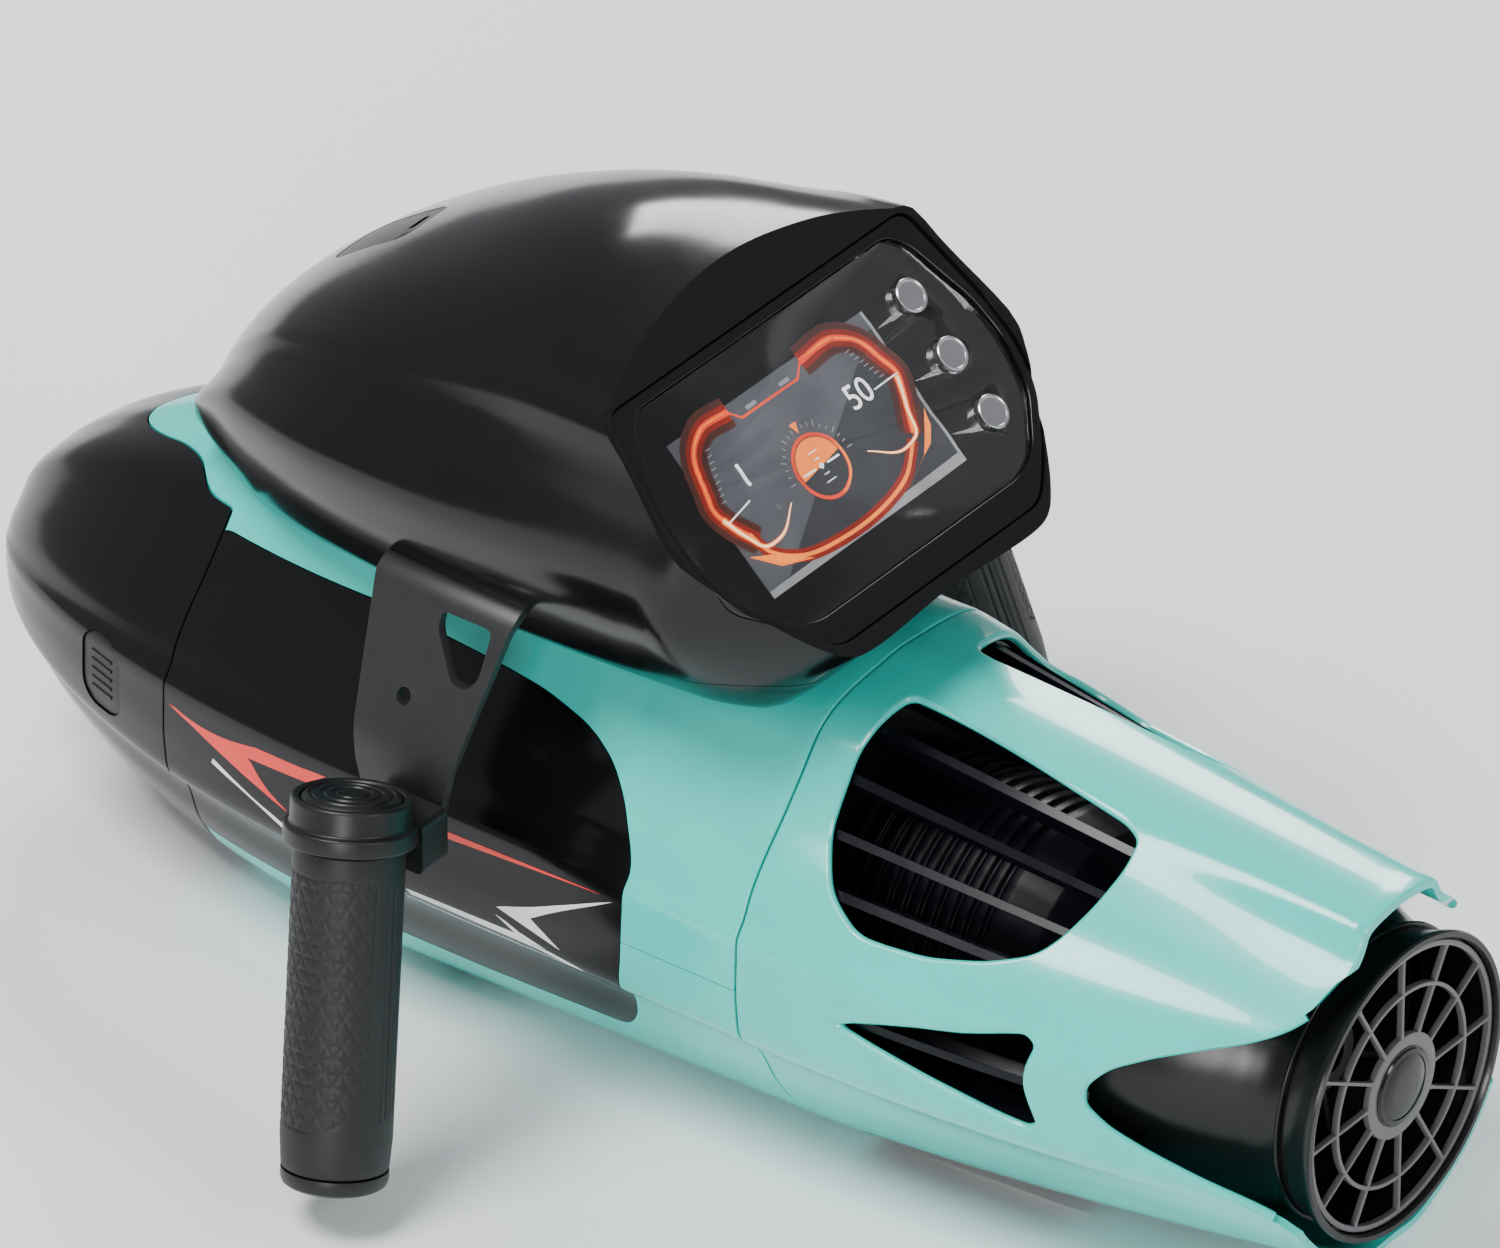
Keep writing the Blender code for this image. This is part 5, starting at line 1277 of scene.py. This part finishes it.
    def front(self) -> None:
        """The bezel with its stepped channel, the mask behind the glass, and the glass."""
        face = self.face
        outline = softened(mirrored(self.bezel), 0.006, 5, closed=True)
        body = thing("bezel_form", face.plate("bezel", outline, -0.0060, self.rim_out - 0.0008))
        opening = softened(grown(mirrored(self.glass), GAP), 0.006, 5, closed=True)
        carve(body, face.plate("seat", opening, -0.01, 0.01))
        rounded(body, 0.0005, 3, 50)
        finish(body, GLOSS_BLACK, "hull", ["display_bezel"])
        mask_outline = softened(grown(mirrored(self.glass), -GAP), 0.006, 5, closed=True)
        mask = thing("glass_mask", face.plate("mask", mask_outline, -0.0040, -0.0033))
        for v in self.keys:
            carve(mask, face.plate("hole", self.key_outline(v, GAP), -0.01, 0.01))
        finish(mask, GLOSS_BLACK, "hull")
        pane_outline = softened(mirrored(self.glass), 0.006, 5, closed=True)
        pane = thing("cover_glass", face.plate("pane", pane_outline, -0.0026, -0.0008))
        for v in self.keys:
            carve(pane, face.plate("hole", self.key_outline(v, GAP), -0.01, 0.01))
        finish(rounded(pane, 0.0002, 2, 50), GLASS, "hull", ["display_glass"])

    def key_outline(self, v: float, grow: float = 0.0) -> list[Pair]:
        """The circle of one key."""
        return circle((self.key_u, v), self.key_radius + grow, 48)

    def key(self, number: int, v: float) -> None:
        """A turned metal key: raised rim and dished middle; its flat faces get painted light and shade in
        alternate sectors, standing for the spun metal's reflection.
        """
        origin, r = self.face.point(self.key_u, v), self.key_radius
        profile = [(0.0002, 0.00095), (0.0040, 0.00090), (0.0046, 0.00095), (0.0050, 0.0013), (0.0054, 0.0014),
                   (r, 0.0011), (r, -0.0050)]
        body = thing(f"menu_key_{number}_form", lathe("key", profile, origin, self.face.out, 96))
        for polygon in body.data.polygons:
            way = polygon.center - origin
            turn = math.atan2(way.dot(self.face.down), way.dot(ACROSS))
            flat = polygon.normal.dot(self.face.out) > 0.9
            # alternate sectors of the flat faces get the darker metal: painted light and shade for the spun
            # metal's reflection
            sector = int(turn / (2 * math.pi) * self.key_sectors + self.key_sectors)
            polygon.material_index = sector % 2 if flat else 0
        finish(body, STEEL, f"menu_key_{number}", [f"menu_button_{number}"], others=[SPUN_SHADE_METAL])


@dataclass
class ScreenPicture:
    """The lit picture: ground, glowing frame, figures and the compass disc, in thin layers."""

    face: FacePlane
    base: float = -0.0031
    layer: float = 0.00002

    def build(self) -> None:
        """Lays the picture's layers one on another."""
        width, height = self.face.screen_size
        self.level = 0
        middle = self.face.screen_middle
        panel = [(middle + u * width / 2, v * height / 2) for u, v in ((-1, -1), (1, -1), (1, 1), (-1, 1))]
        mesh = self.face.plate("panel", panel, -0.0058, self.base)
        finish(thing("screen_panel", mesh), SCREEN_DARK, "hull", ["display_panel"])
        self.lay("haze", SCREEN_HAZE, [[(0, 0), (0.99, 0), (0.99, 0.10), (0.10, 0.955), (0, 0.955)]])
        self.lay("edge_strips", SCREEN_EDGE, [[(0.988, 0), (1, 0), (1, 1), (0.988, 1)],
                                              [(0, 0.957), (0.988, 0.942), (0.988, 1), (0, 1)]])
        self.glow_frame()
        self.figures()
        self.compass()

    def lay(self, name: str, look: Finish, shapes: Sequence[Sequence[Pair]]) -> None:
        """Adds one layer of one or more shapes, in shares of the screen's size."""
        self.level += 1
        low = self.base + self.layer * (self.level - 1) * 0.5
        made = thing("picture_" + name, slab(name, shapes[0], self.face.on_screen, low, low + self.layer))
        add(made, *[slab(name, shape, self.face.on_screen, low, low + self.layer) for shape in shapes[1:]])
        finish(made, look, "hull")

    def stroke(self, points: Sequence[Pair], width: float, taper: float = 1.0) -> list[Pair]:
        """The outline of a line of a width in metres, thinner at its end by taper."""
        wide, high = self.face.screen_size
        line = [Vector((u * wide, v * high)) for u, v in points]
        left, right = [], []
        for i, here in enumerate(line):
            run = (line[min(i + 1, len(line) - 1)] - line[max(i - 1, 0)]).normalized()
            half = width / 2 * (1 + (taper - 1) * i / (len(line) - 1))
            normal = Vector((-run.y, run.x)) * half
            left.append(here + normal)
            right.append(here - normal)
        return [(p.x / wide, p.y / high) for p in left + right[::-1]]

    def arc(self, centre: Pair, radius: float, start: float, end: float, steps: int = 40) -> list[Pair]:
        """Points on a circle whose radius is in metres, from one angle in degrees to another."""
        wide, high = self.face.screen_size
        turns = [math.radians(start + (end - start) * i / steps) for i in range(steps + 1)]
        return [(centre[0] + radius * math.cos(t) / wide, centre[1] + radius * math.sin(t) / high) for t in turns]

    def glow_frame(self) -> None:
        """The red frame with its hot corners and the orange sweep under it."""
        left = refine([(0.290, 0.035), (0.155, 0.030), (0.105, 0.070), (0.020, 0.330), (0.004, 0.440),
                       (0.022, 0.530), (0.085, 0.700)], 0.02, closed=False)
        right = refine([(0.660, 0.035), (0.830, 0.030), (0.868, 0.060), (0.955, 0.290), (0.972, 0.365),
                        (0.950, 0.480), (0.880, 0.710)], 0.02, closed=False)
        top = [(0.160, 0.034), (0.285, 0.036), (0.325, 0.105), (0.610, 0.105), (0.660, 0.036), (0.835, 0.034)]
        low = refine([(0.070, 0.640), (0.097, 0.780), (0.200, 0.900), (0.400, 0.952), (0.600, 0.940),
                      (0.750, 0.880), (0.860, 0.740)], 0.02, closed=False)
        for width, look, name in ((0.0100, GLOW_FAINT, "halo"), (0.0055, GLOW_DEEP, "outer"),
                                  (0.0020, GLOW_RED, "middle"), (0.0007, GLOW_ORANGE, "inner")):
            self.lay(f"frame_left_{name}", look, [self.stroke(left, width)])
            self.lay(f"frame_right_{name}", look, [self.stroke(right, width)])
        self.lay("frame_top", GLOW_RED, [self.stroke(top, 0.0007)])
        self.lay("sweep_glow", GLOW_DEEP, [self.stroke(low, 0.0042)])
        self.lay("sweep", GLOW_ORANGE, [self.stroke(low, 0.0012)])
        hot_left = refine([(0.012, 0.500), (0.055, 0.650), (0.105, 0.752), (0.165, 0.752), (0.288, 0.635)],
                          0.02, closed=False)
        hot_right = refine([(0.962, 0.400), (0.920, 0.580), (0.872, 0.735), (0.808, 0.755), (0.675, 0.645)],
                           0.02, closed=False)
        self.lay("flame_left", GLOW_ORANGE, [self.stroke(hot_left, 0.0026, 0.15)])
        self.lay("flame_right", GLOW_ORANGE, [self.stroke(hot_right, 0.0026, 0.15)])
        self.lay("hot_left", GLOW_HOT, [self.stroke(hot_left, 0.0010, 0.3)])
        self.lay("hot_right", GLOW_HOT, [self.stroke(hot_right, 0.0010, 0.3)])
        leaf_left = [(0.013, 0.743), (0.094, 0.799), (0.160, 0.875), (0.236, 0.949), (0.103, 0.882)]
        leaf_right = [(0.980, 0.632), (0.958, 0.728), (0.912, 0.813), (0.728, 0.941), (0.860, 0.850)]
        self.lay("crescents", GLOW_ORANGE, [leaf_left, leaf_right])

    def figures(self) -> None:
        """The two large numbers, their pointers and the small tick marks."""
        self.number("1", (0.188, 0.368), 0.0112)
        self.number("50", (0.785, 0.367), 0.0112)
        self.lay("pointers", GLOW_WHITE, [self.stroke([(0.023, 0.532), (0.150, 0.494)], 0.00045),
                                          self.stroke([(0.971, 0.388), (0.850, 0.391)], 0.00045)])
        ticks = []
        for t in np.linspace(0.06, 0.94, 9):
            for base, top, length in (((0.100, 0.120), (0.020, 0.440), 0.022),
                                      ((0.875, 0.120), (0.958, 0.400), -0.022)):
                u, v = base[0] + (top[0] - base[0]) * t, base[1] + (top[1] - base[1]) * t
                ticks.append(self.stroke([(u + length, v), (u + 2 * length, v)], 0.0003))
        self.lay("scale_ticks", GLOW_GREY, ticks)
        self.lay("status_tab", GLOW_GREY, [self.stroke([(0.36, 0.075), (0.41, 0.075)], 0.0013),
                                           self.stroke([(0.53, 0.075), (0.58, 0.075)], 0.0013)])

    def number(self, words: str, centre: Pair, size: float) -> None:
        """A large lit number, as thin solid figures."""
        curve = bpy.data.curves.new("figures", "FONT")
        curve.body, curve.size, curve.align_x, curve.align_y = words, size, "CENTER", "CENTER"
        curve.extrude = self.layer
        writer = thing("writer", curve)
        mesh = bpy.data.meshes.new_from_object(writer.evaluated_get(bpy.context.evaluated_depsgraph_get()))
        bpy.data.objects.remove(writer)
        height = self.base + self.layer * (self.level * 0.5 + 2)
        origin = self.face.on_screen(*centre, height)
        for vertex in mesh.vertices:
            x, y, z = vertex.co
            vertex.co = origin + ACROSS * x - self.face.down * y + self.face.out * z
        finish(thing(f"picture_number_{words}", mesh), GLOW_WHITE, "hull")

    def compass(self) -> None:
        """The disc in the middle: a ring, a lit upper half, a horizon bar and radial ticks."""
        centre, radius = (0.480, 0.565), 0.0098
        self.lay("disc_ring", GLOW_RED, [self.arc(centre, radius + 0.0011, 0, 360)[:-1]])
        self.lay("disc_dark", SCREEN_DARK, [self.arc(centre, radius, 0, 360)[:-1]])
        self.lay("disc_sky", GLOW_ORANGE, [self.arc(centre, radius * 0.96, 172, 352)])
        self.lay("disc_rim", GLOW_ORANGE, [self.stroke(self.arc(centre, radius + 0.0007, -20, 80), 0.0007)])
        self.lay("horizon", GLOW_WHITE, [self.stroke([(0.392, 0.560), (0.452, 0.563)], 0.0006),
                                         self.stroke([(0.508, 0.567), (0.568, 0.570)], 0.0006),
                                         [(0.468, 0.565), (0.480, 0.545), (0.492, 0.565), (0.480, 0.585)]])
        pitch = [self.stroke([(0.480 - half, 0.565 + dv), (0.480 + half, 0.565 + dv)], 0.0003)
                 for dv, half in ((-0.045, 0.012), (-0.090, 0.022), (0.050, 0.012), (0.095, 0.022))]
        self.lay("pitch_lines", GLOW_WHITE, pitch)
        rays = []
        for k in range(19):
            turn = 180 + k * 10
            inner = self.arc(centre, radius + 0.0030, turn, turn + 1, 1)[0]
            outer = self.arc(centre, radius + (0.0052 if k % 3 == 0 else 0.0043), turn, turn + 1, 1)[0]
            rays.append(self.stroke([inner, outer], 0.00035))
        self.lay("compass_ticks", GLOW_GREY, rays)
        tip, low = self.arc(centre, radius + 0.0020, 270, 271, 1)[0], radius + 0.0056
        self.lay("compass_marker", GLOW_ORANGE, [[tip, *self.arc(centre, low, 264, 276, 1)]])


# ---------------------------------------------------------------- brackets and grips


@dataclass
class Handle:
    """One bracket with its screws, and the grip that hangs from it."""

    side: Side
    path: list[Pair] = field(default_factory=lambda: [(0.0540, 0.1755), (0.0830, 0.1755), (0.1075, 0.1274),
                                                      (0.1110, 0.1020)])
    edges: list[Pair] = field(default_factory=lambda: [(0.0015, 0.0545), (0.0015, 0.0545), (0.0085, 0.0460),
                                                       (0.0120, 0.0360)])
    window: list[Pair] = field(default_factory=lambda: [
        (0.0080, 0.1700), (0.0080, 0.1560), (0.0110, 0.1520), (0.0170, 0.1520), (0.0200, 0.1560),
        (0.0270, 0.1650), (0.0270, 0.1700)])
    hole: Pair = (0.0320, 0.1440)
    thickness: float = 0.0030
    sleeve_radius: float = 0.0172
    bore: float = 0.0135

    def __post_init__(self) -> None:
        """Works out the grip's axis on this side."""
        self.origin = self.side.across((0.1372, 0.0230, 0.1320))
        self.down = self.side.across(Vector((0.2713, -0.1370, -1.0)).normalized())
        self.word = self.side.word

    def build(self) -> None:
        """Builds and dresses one side's bracket and grip."""
        self.bracket()
        self.screws()
        self.core()
        self.sleeve()
        self.thumb_key()

    def bracket(self) -> None:
        """The bent plate, with filleted bends, its slotted window and the cable hole."""
        rows, path = [], [Vector(p) for p in self.path]
        stations: list[tuple[Vector, float]] = []
        for i, here in enumerate(path):
            if i in (0, len(path) - 1):
                stations.append((here, float(i)))
                continue
            reach = 0.0070 if i == 1 else 0.0060
            start = here + (path[i - 1] - here).normalized() * reach
            end = here + (path[i + 1] - here).normalized() * reach
            first = i - reach / (path[i - 1] - here).length
            last = i + reach / (path[i + 1] - here).length
            for step in range(7):
                t = step / 6
                place = start * (1 - t) ** 2 + here * 2 * t * (1 - t) + end * t**2
                stations.append((place, first + (last - first) * t))
        for k, (here, index) in enumerate(stations):
            before = stations[max(0, k - 1)][0]
            after = stations[min(len(stations) - 1, k + 1)][0]
            run = (after - before).normalized()
            normal = Vector((-run.y, run.x)) * self.thickness / 2
            low = min(int(index), len(self.edges) - 2)
            share = index - low
            rear, front = (a + (b - a) * share for a, b in zip(self.edges[low], self.edges[low + 1]))
            inner, outer = here - normal, here + normal
            corners = ((inner, rear), (outer, rear), (outer, front), (inner, front))
            rows.append([Vector((self.side.value * p.x, y, p.y)) for p, y in corners])
        body = thing(f"bracket_{self.word}_form", loft("bracket", rows))
        way = ACROSS * self.side.value
        window = softened(self.window, 0.0025, 4, closed=True)
        carve(body, prism("window", window, Vector(), ALONG, UP, way, 0.07, 0.13))
        hole = circle(self.hole, 0.0026, 32)
        carve(body, prism("hole", hole, Vector(), ALONG, UP, way, 0.07, 0.13))
        finish(rounded(body, 0.0005, 3, 35), BRACKET_GREY, "hull", [f"handle_bracket_{self.word}"])

    def screws(self) -> None:
        """Two button-head screws with a hexagon socket."""
        top = self.path[0][1] + self.thickness / 2 + GAP
        for number, y in enumerate((0.0120, 0.0440), 1):
            profile = [(0.0002, 0.0027), (0.0018, 0.00265), (0.0030, 0.0022), (0.0038, 0.0012), (0.0040, 0.0004),
                       (0.0040, 0.0)]
            origin = Vector((self.side.value * 0.0650, y, top))
            head = thing(f"screw_{self.word}_{number}_form", lathe("head", profile, origin, UP, 48))
            carve(head, prism("socket", circle((0, 0), 0.0015, 6), origin, ACROSS, ALONG, UP, 0.0010, 0.01))
            finish(head, STEEL, "hull", [f"bracket_screw_{self.word}_{number}"])

    def core(self) -> None:
        """The moulded core: head, collar and flange, with the arm that meets the bracket."""
        profile = softened([(0.0158, 0.0078), (0.0158, 0.0012), (0.0172, 0.0004), (0.0186, 0.0012),
                            (0.0186, 0.0088), (0.0205, 0.0094), (0.0205, 0.0148), (self.bore, 0.0156),
                            (self.bore, 0.1180), (0.0110, 0.1180), (0.0110, 0.0100), (0.0150, 0.0078)],
                           0.0007, 3, closed=True)
        turned = lathe("core", profile, self.origin, self.down, 96, ring=True)
        core = thing(f"grip_core_{self.word}_form", turned)
        corners = [(0.0060, 0.1020), (0.0330, 0.1020), (0.0330, 0.1200), (0.0060, 0.1200)]
        outline = softened(corners, 0.0030, 4, closed=True)
        arm = prism("arm", outline, Vector(), ALONG, UP, ACROSS * self.side.value, 0.1128, 0.1250)
        carve(core, arm, "UNION")
        finish(core, SATIN_BLACK, "hull", [f"grip_core_{self.word}"])
        profile = [(0.0165, 0.1183), (0.0166, 0.1190), (0.0165, 0.1213), (0.0160, 0.1226), (0.0148, 0.1235),
                   (0.0110, 0.1239), (0.0104, 0.1235), (0.0004, 0.1234)]
        cap = thing(f"grip_cap_{self.word}_form", lathe("cap", profile, self.origin, self.down, 96))
        finish(cap, SATIN_BLACK, "hull", [f"grip_end_cap_{self.word}"])

    def relief(self, turn: float, along: float) -> float:
        """Depth of the sleeve's moulded pattern.

        Args:
            turn: angle from the strip of long grooves, in radians.
            along: distance down the grip.

        Returns:
            How far below the sleeve's smooth surface this place is.
        """
        around = turn * self.sleeve_radius
        top, bottom = 0.0235, 0.1030
        strip = 0.0075
        if abs(around) < strip:
            inside = 0.0260 < along < 0.1000
            groove = min(abs(abs(around) - 0.0010), abs(abs(around) - 0.0038))
            return 0.0006 * max(0.0, 1 - groove / 0.0007) if inside else 0.0
        reach = abs(around) - strip
        bottom_here = bottom - 0.0120 * (1 - min(1.0, reach / 0.0220)) ** 2
        margin = min(reach - 0.0016, along - top, bottom_here - along)
        if abs(margin) < 0.0006:
            return 0.00045 * (1 - abs(margin) / 0.0006)
        if margin < 0:
            return 0.0
        pitch = 0.0044
        lines = (along, along * 0.5 + around * 0.8660, along * 0.5 - around * 0.8660)
        near = min(abs((line / pitch + 0.5) % 1 - 0.5) * pitch for line in lines)
        return 0.00038 * max(0.0, 1 - near / 0.00055)

    def sleeve(self) -> None:
        """The rubber sleeve, with its lattice panels and long grooves moulded in."""
        count = 200
        side = (ALONG - self.down * ALONG.dot(self.down)).normalized() * -1
        other = self.down.cross(side) * self.side.value
        rows = []
        outer = [0.0160, 0.0163, 0.0175, 0.0200, *np.arange(0.0206, 0.1080, 0.00075), 0.1080, 0.1110, 0.1145,
                 0.1170, 0.1176]
        for along in outer:
            end_round = 0.0003 if along < 0.0162 or along > 0.1171 else 0
            if along <= 0.0200:
                base = self.sleeve_radius - 0.0004 * (0.0200 - along) / 0.0040 - end_round
            else:
                base = self.sleeve_radius - 0.0007 * max(0.0, (along - 0.1080) / 0.0096) - end_round
            row = []
            for k in range(count):
                turn = 2 * math.pi * k / count - math.pi
                radius = base - self.relief(turn - math.radians(8), along)
                way = side * math.cos(turn) + other * math.sin(turn)
                row.append(self.origin + self.down * along + way * radius)
            rows.append(row)
        for along in (0.1176, 0.0160):
            rows.append([self.origin + self.down * along
                         + (side * math.cos(2 * math.pi * k / count - math.pi)
                            + other * math.sin(2 * math.pi * k / count - math.pi)) * (self.bore + GAP)
                         for k in range(count)])
        body = thing(f"grip_sleeve_{self.word}_form", loft("sleeve", rows, joined=True))
        finish(body, RUBBER, "hull", [f"grip_sleeve_{self.word}"])

    def thumb_key(self) -> None:
        """The thumb key in the grip's head, with rings to feel."""
        profile = [(0.0154, 0.0040), (0.0154, 0.0016), (0.0148, 0.0008), (0.0134, 0.0002), (0.0130, 0.0007),
                   (0.0122, 0.0007), (0.0118, 0.0001), (0.0098, 0.0000), (0.0094, 0.0005), (0.0086, 0.0005),
                   (0.0082, -0.0001), (0.0062, -0.0002), (0.0058, 0.0004), (0.0050, 0.0004), (0.0046, -0.0002),
                   (0.0004, -0.0002)]
        key = thing(f"thumb_key_{self.word}_form", lathe("key", profile, self.origin, self.down, 96))
        finish(key, SATIN_BLACK, f"throttle_{self.word}", [f"throttle_button_{self.word}"])


# ---------------------------------------------------------------- battery


@dataclass
class BatteryPack:
    """The pack that slides out behind the nose: ribbed case, lid and carrying bail."""

    half: Pair = (0.0430, 0.0390)
    span: Pair = (-0.0520, 0.1280)
    lid_front: float = 0.1415
    bail_y: float = 0.1444
    bail_z: float = 0.0920

    def build(self) -> None:
        """Builds and dresses the pack."""
        origin = Vector((0, 0, AXIS_Z))
        outline = rounded_box(2 * self.half[0], 2 * self.half[1], 0.0075, 8)
        rear, front = self.span
        rows = []
        for y, inset in ((rear, 0.0010), (rear + 0.0010, 0.0), (front - 0.0005, 0.0), (front, 0.0005)):
            scale = (1 - inset / self.half[0], 1 - inset / self.half[1])
            rows.append([origin + Vector((u * scale[0], y, v * scale[1])) for u, v in outline])
        case = thing("battery_case_form", loft("case", rows))
        for sign in (1, -1):
            for k in range(5):
                z = 0.0052 * (k - 2) * 2 + 0.0026
                groove = rounded_box(0.0016, front - rear - 0.030, 0.0007, 3)
                place = origin + Vector((sign * self.half[0], (front + rear) / 2, z))
                carve(case, prism("groove", groove, place, UP, ALONG, ACROSS, -0.0006, 0.0006))
            groove = rounded_box(0.0016, front - rear - 0.040, 0.0007, 3)
            for x in (-0.02, 0.0, 0.02):
                place = origin + Vector((x, (front + rear) / 2, sign * self.half[1]))
                carve(case, prism("groove", groove, place, ACROSS, ALONG, UP, -0.0006, 0.0006))
        finish(case, BATTERY, "battery", ["battery_case"])
        self.lid(origin)
        self.bail()

    def lid(self, origin: Vector) -> None:
        """The lid, with its stepped front, charge gauge dots and the bail's ears."""
        outline = rounded_box(2 * self.half[0] - 0.0020, 2 * self.half[1] - 0.0020, 0.0070, 8)
        rear = self.span[1] + GAP
        rows = [[origin + Vector((u * s, y, v * s)) for u, v in outline]
                for y, s in ((rear, 0.99), (rear + 0.0005, 1.0), (self.lid_front - 0.0020, 1.0),
                             (self.lid_front - 0.0006, 0.985), (self.lid_front, 0.955))]
        lid = thing("battery_lid_form", loft("lid", rows))
        panel = rounded_box(0.0600, 0.0300, 0.0050, 6)
        carve(lid, prism("panel", panel, origin - UP * 0.0180, ACROSS, UP, ALONG, self.lid_front - 0.0008, 0.16))
        for sign in (1, -1):
            ear = rounded_box(0.0100, 0.0060, 0.0024, 5)
            place = Vector((0, 0.1430, self.bail_z))
            carve(lid, prism("ear", ear, place, ALONG, UP, ACROSS * sign, 0.0340, 0.0385), "UNION")
        finish(rounded(lid, 0.0004, 2, 50), BATTERY, "battery", ["battery_lid"])
        for k in range(4):
            dot = lathe("dot", [(0.0016, 0.0), (0.0016, 0.0004), (0.0012, 0.0006), (0.0002, 0.0007)],
                        origin + Vector(((k - 1.5) * 0.0060, self.lid_front - 0.0009, -0.0180)), ALONG, 24)
            finish(thing(f"gauge_dot_{k + 1}", dot), GLOW_GREY, "battery")

    def bail(self) -> None:
        """The carrying bail, a flat bar with rounded bends."""
        high, low = self.bail_z + 0.0018, self.bail_z - 0.0448
        outer = [(-0.0335, high), (-0.0335, low), (0.0335, low), (0.0335, high), (0.0267, high),
                 (0.0267, low + 0.0068), (-0.0267, low + 0.0068), (-0.0267, high)]
        outline = softened(outer, 0.0085, 6, closed=True)
        mesh = prism("bail", outline, Vector(), ACROSS, UP, ALONG, self.bail_y - 0.0019, self.bail_y + 0.0019)
        finish(rounded(thing("bail_form", mesh), 0.0009, 3, 50), BATTERY, "battery_bail", ["battery_handle"])


# ---------------------------------------------------------------- carried-over parts and studio


def dress_inner_parts() -> None:
    """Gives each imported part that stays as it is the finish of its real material."""
    looks = {
        "motor_stator": COPPER, "motor_rotor": STEEL, "front_bearing": STEEL, "rear_bearing": STEEL,
        "drive_shaft": STEEL, "impeller_nut": STEEL, "display_board": BOARD, "controller_box": BRACKET_GREY,
        "nose_seal_ring": SEAL, "shaft_seal": SEAL,
    }
    for name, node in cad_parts.items():
        if node.hide_render:
            continue
        look = looks.get(name, SATIN_BLACK)
        node.data.materials.clear()
        node.data.materials.append(look.material())
        log.info("%s keeps its packed shape", name)


@dataclass
class Studio:
    """Pale floor, soft lights and the camera."""

    target: Vector = field(default_factory=lambda: Vector((0.0, -0.01825, 0.1390)))
    back: Vector = field(default_factory=lambda: Vector((-0.6630, -0.5094, 0.5486)))
    distance: float = 5.145
    lens: float = 406.1
    roll: float = math.radians(-0.2)

    def build(self) -> None:
        """Builds the floor, the lights and the camera."""
        self.floor()
        self.light("key", (-1.1, 0.5, 2.6), 1.1, 88.0)
        self.light("fill", (-2.6, -1.0, 0.8), 0.7, 34.0)
        self.light("rim", (2.0, 1.2, 1.5), 0.9, 46.0)
        self.light("tail strip", (-0.3, -2.6, 1.7), 0.8, 24.0)
        world = bpy.data.worlds.new("studio air")
        bpy.context.scene.world = world
        world.use_nodes = True
        world.node_tree.nodes["Background"].inputs["Color"].default_value = (0.93, 0.95, 1.0, 1.0)
        world.node_tree.nodes["Background"].inputs["Strength"].default_value = 0.42
        self.camera()

    def floor(self) -> None:
        """A plain pale flat floor."""
        made = bpy.data.materials.new("floor")
        made.use_nodes = True
        shader = made.node_tree.nodes["Principled BSDF"]
        shader.inputs["Base Color"].default_value = (0.86, 0.87, 0.88, 1.0)
        shader.inputs["Roughness"].default_value = 0.7
        size = 12.0
        mesh = bpy.data.meshes.new("floor")
        corners = [(-size, -size, 0), (size, -size, 0), (size, size, 0), (-size, size, 0)]
        mesh.from_pydata(corners, [], [(0, 1, 2, 3)])
        floor = thing("floor", mesh)
        mesh.materials.append(made)

    def light(self, name: str, place: tuple[float, float, float], size: float, power: float) -> None:
        """One soft square light that faces the scooter."""
        data = bpy.data.lights.new(name, "AREA")
        data.size, data.energy = size, power
        lamp = bpy.data.objects.new(name, data)
        lamp.location = place
        lamp.rotation_euler = (self.target - lamp.location).to_track_quat("-Z", "Y").to_euler()
        bpy.context.scene.collection.objects.link(lamp)

    def camera(self) -> None:
        """The camera, far off with a long lens."""
        data = bpy.data.cameras.new("camera")
        data.sensor_width, data.lens, data.clip_end = 36.0, self.lens, 50.0
        camera = bpy.data.objects.new("camera", data)
        camera.location = self.target + self.back.normalized() * self.distance
        turn = (-self.back).to_track_quat("-Z", "Y").to_matrix().to_4x4()
        camera.rotation_euler = (turn @ turn.Rotation(self.roll, 4, "Z")).to_euler()
        bpy.context.scene.collection.objects.link(camera)
        bpy.context.scene.camera = camera


def main() -> None:
    """Builds each sub-assembly in order."""
    hull, face = HullForm(), FacePlane()
    FrontHull(hull).build()
    NoseCap(hull).build()
    Tail(hull).build()
    JetPump().build()
    DisplayPod(face, hull).build()
    for side in Side:
        Handle(side).build()
    BatteryPack().build()
    dress_inner_parts()
    Studio().build()


if __name__ == "__main__":
    main()
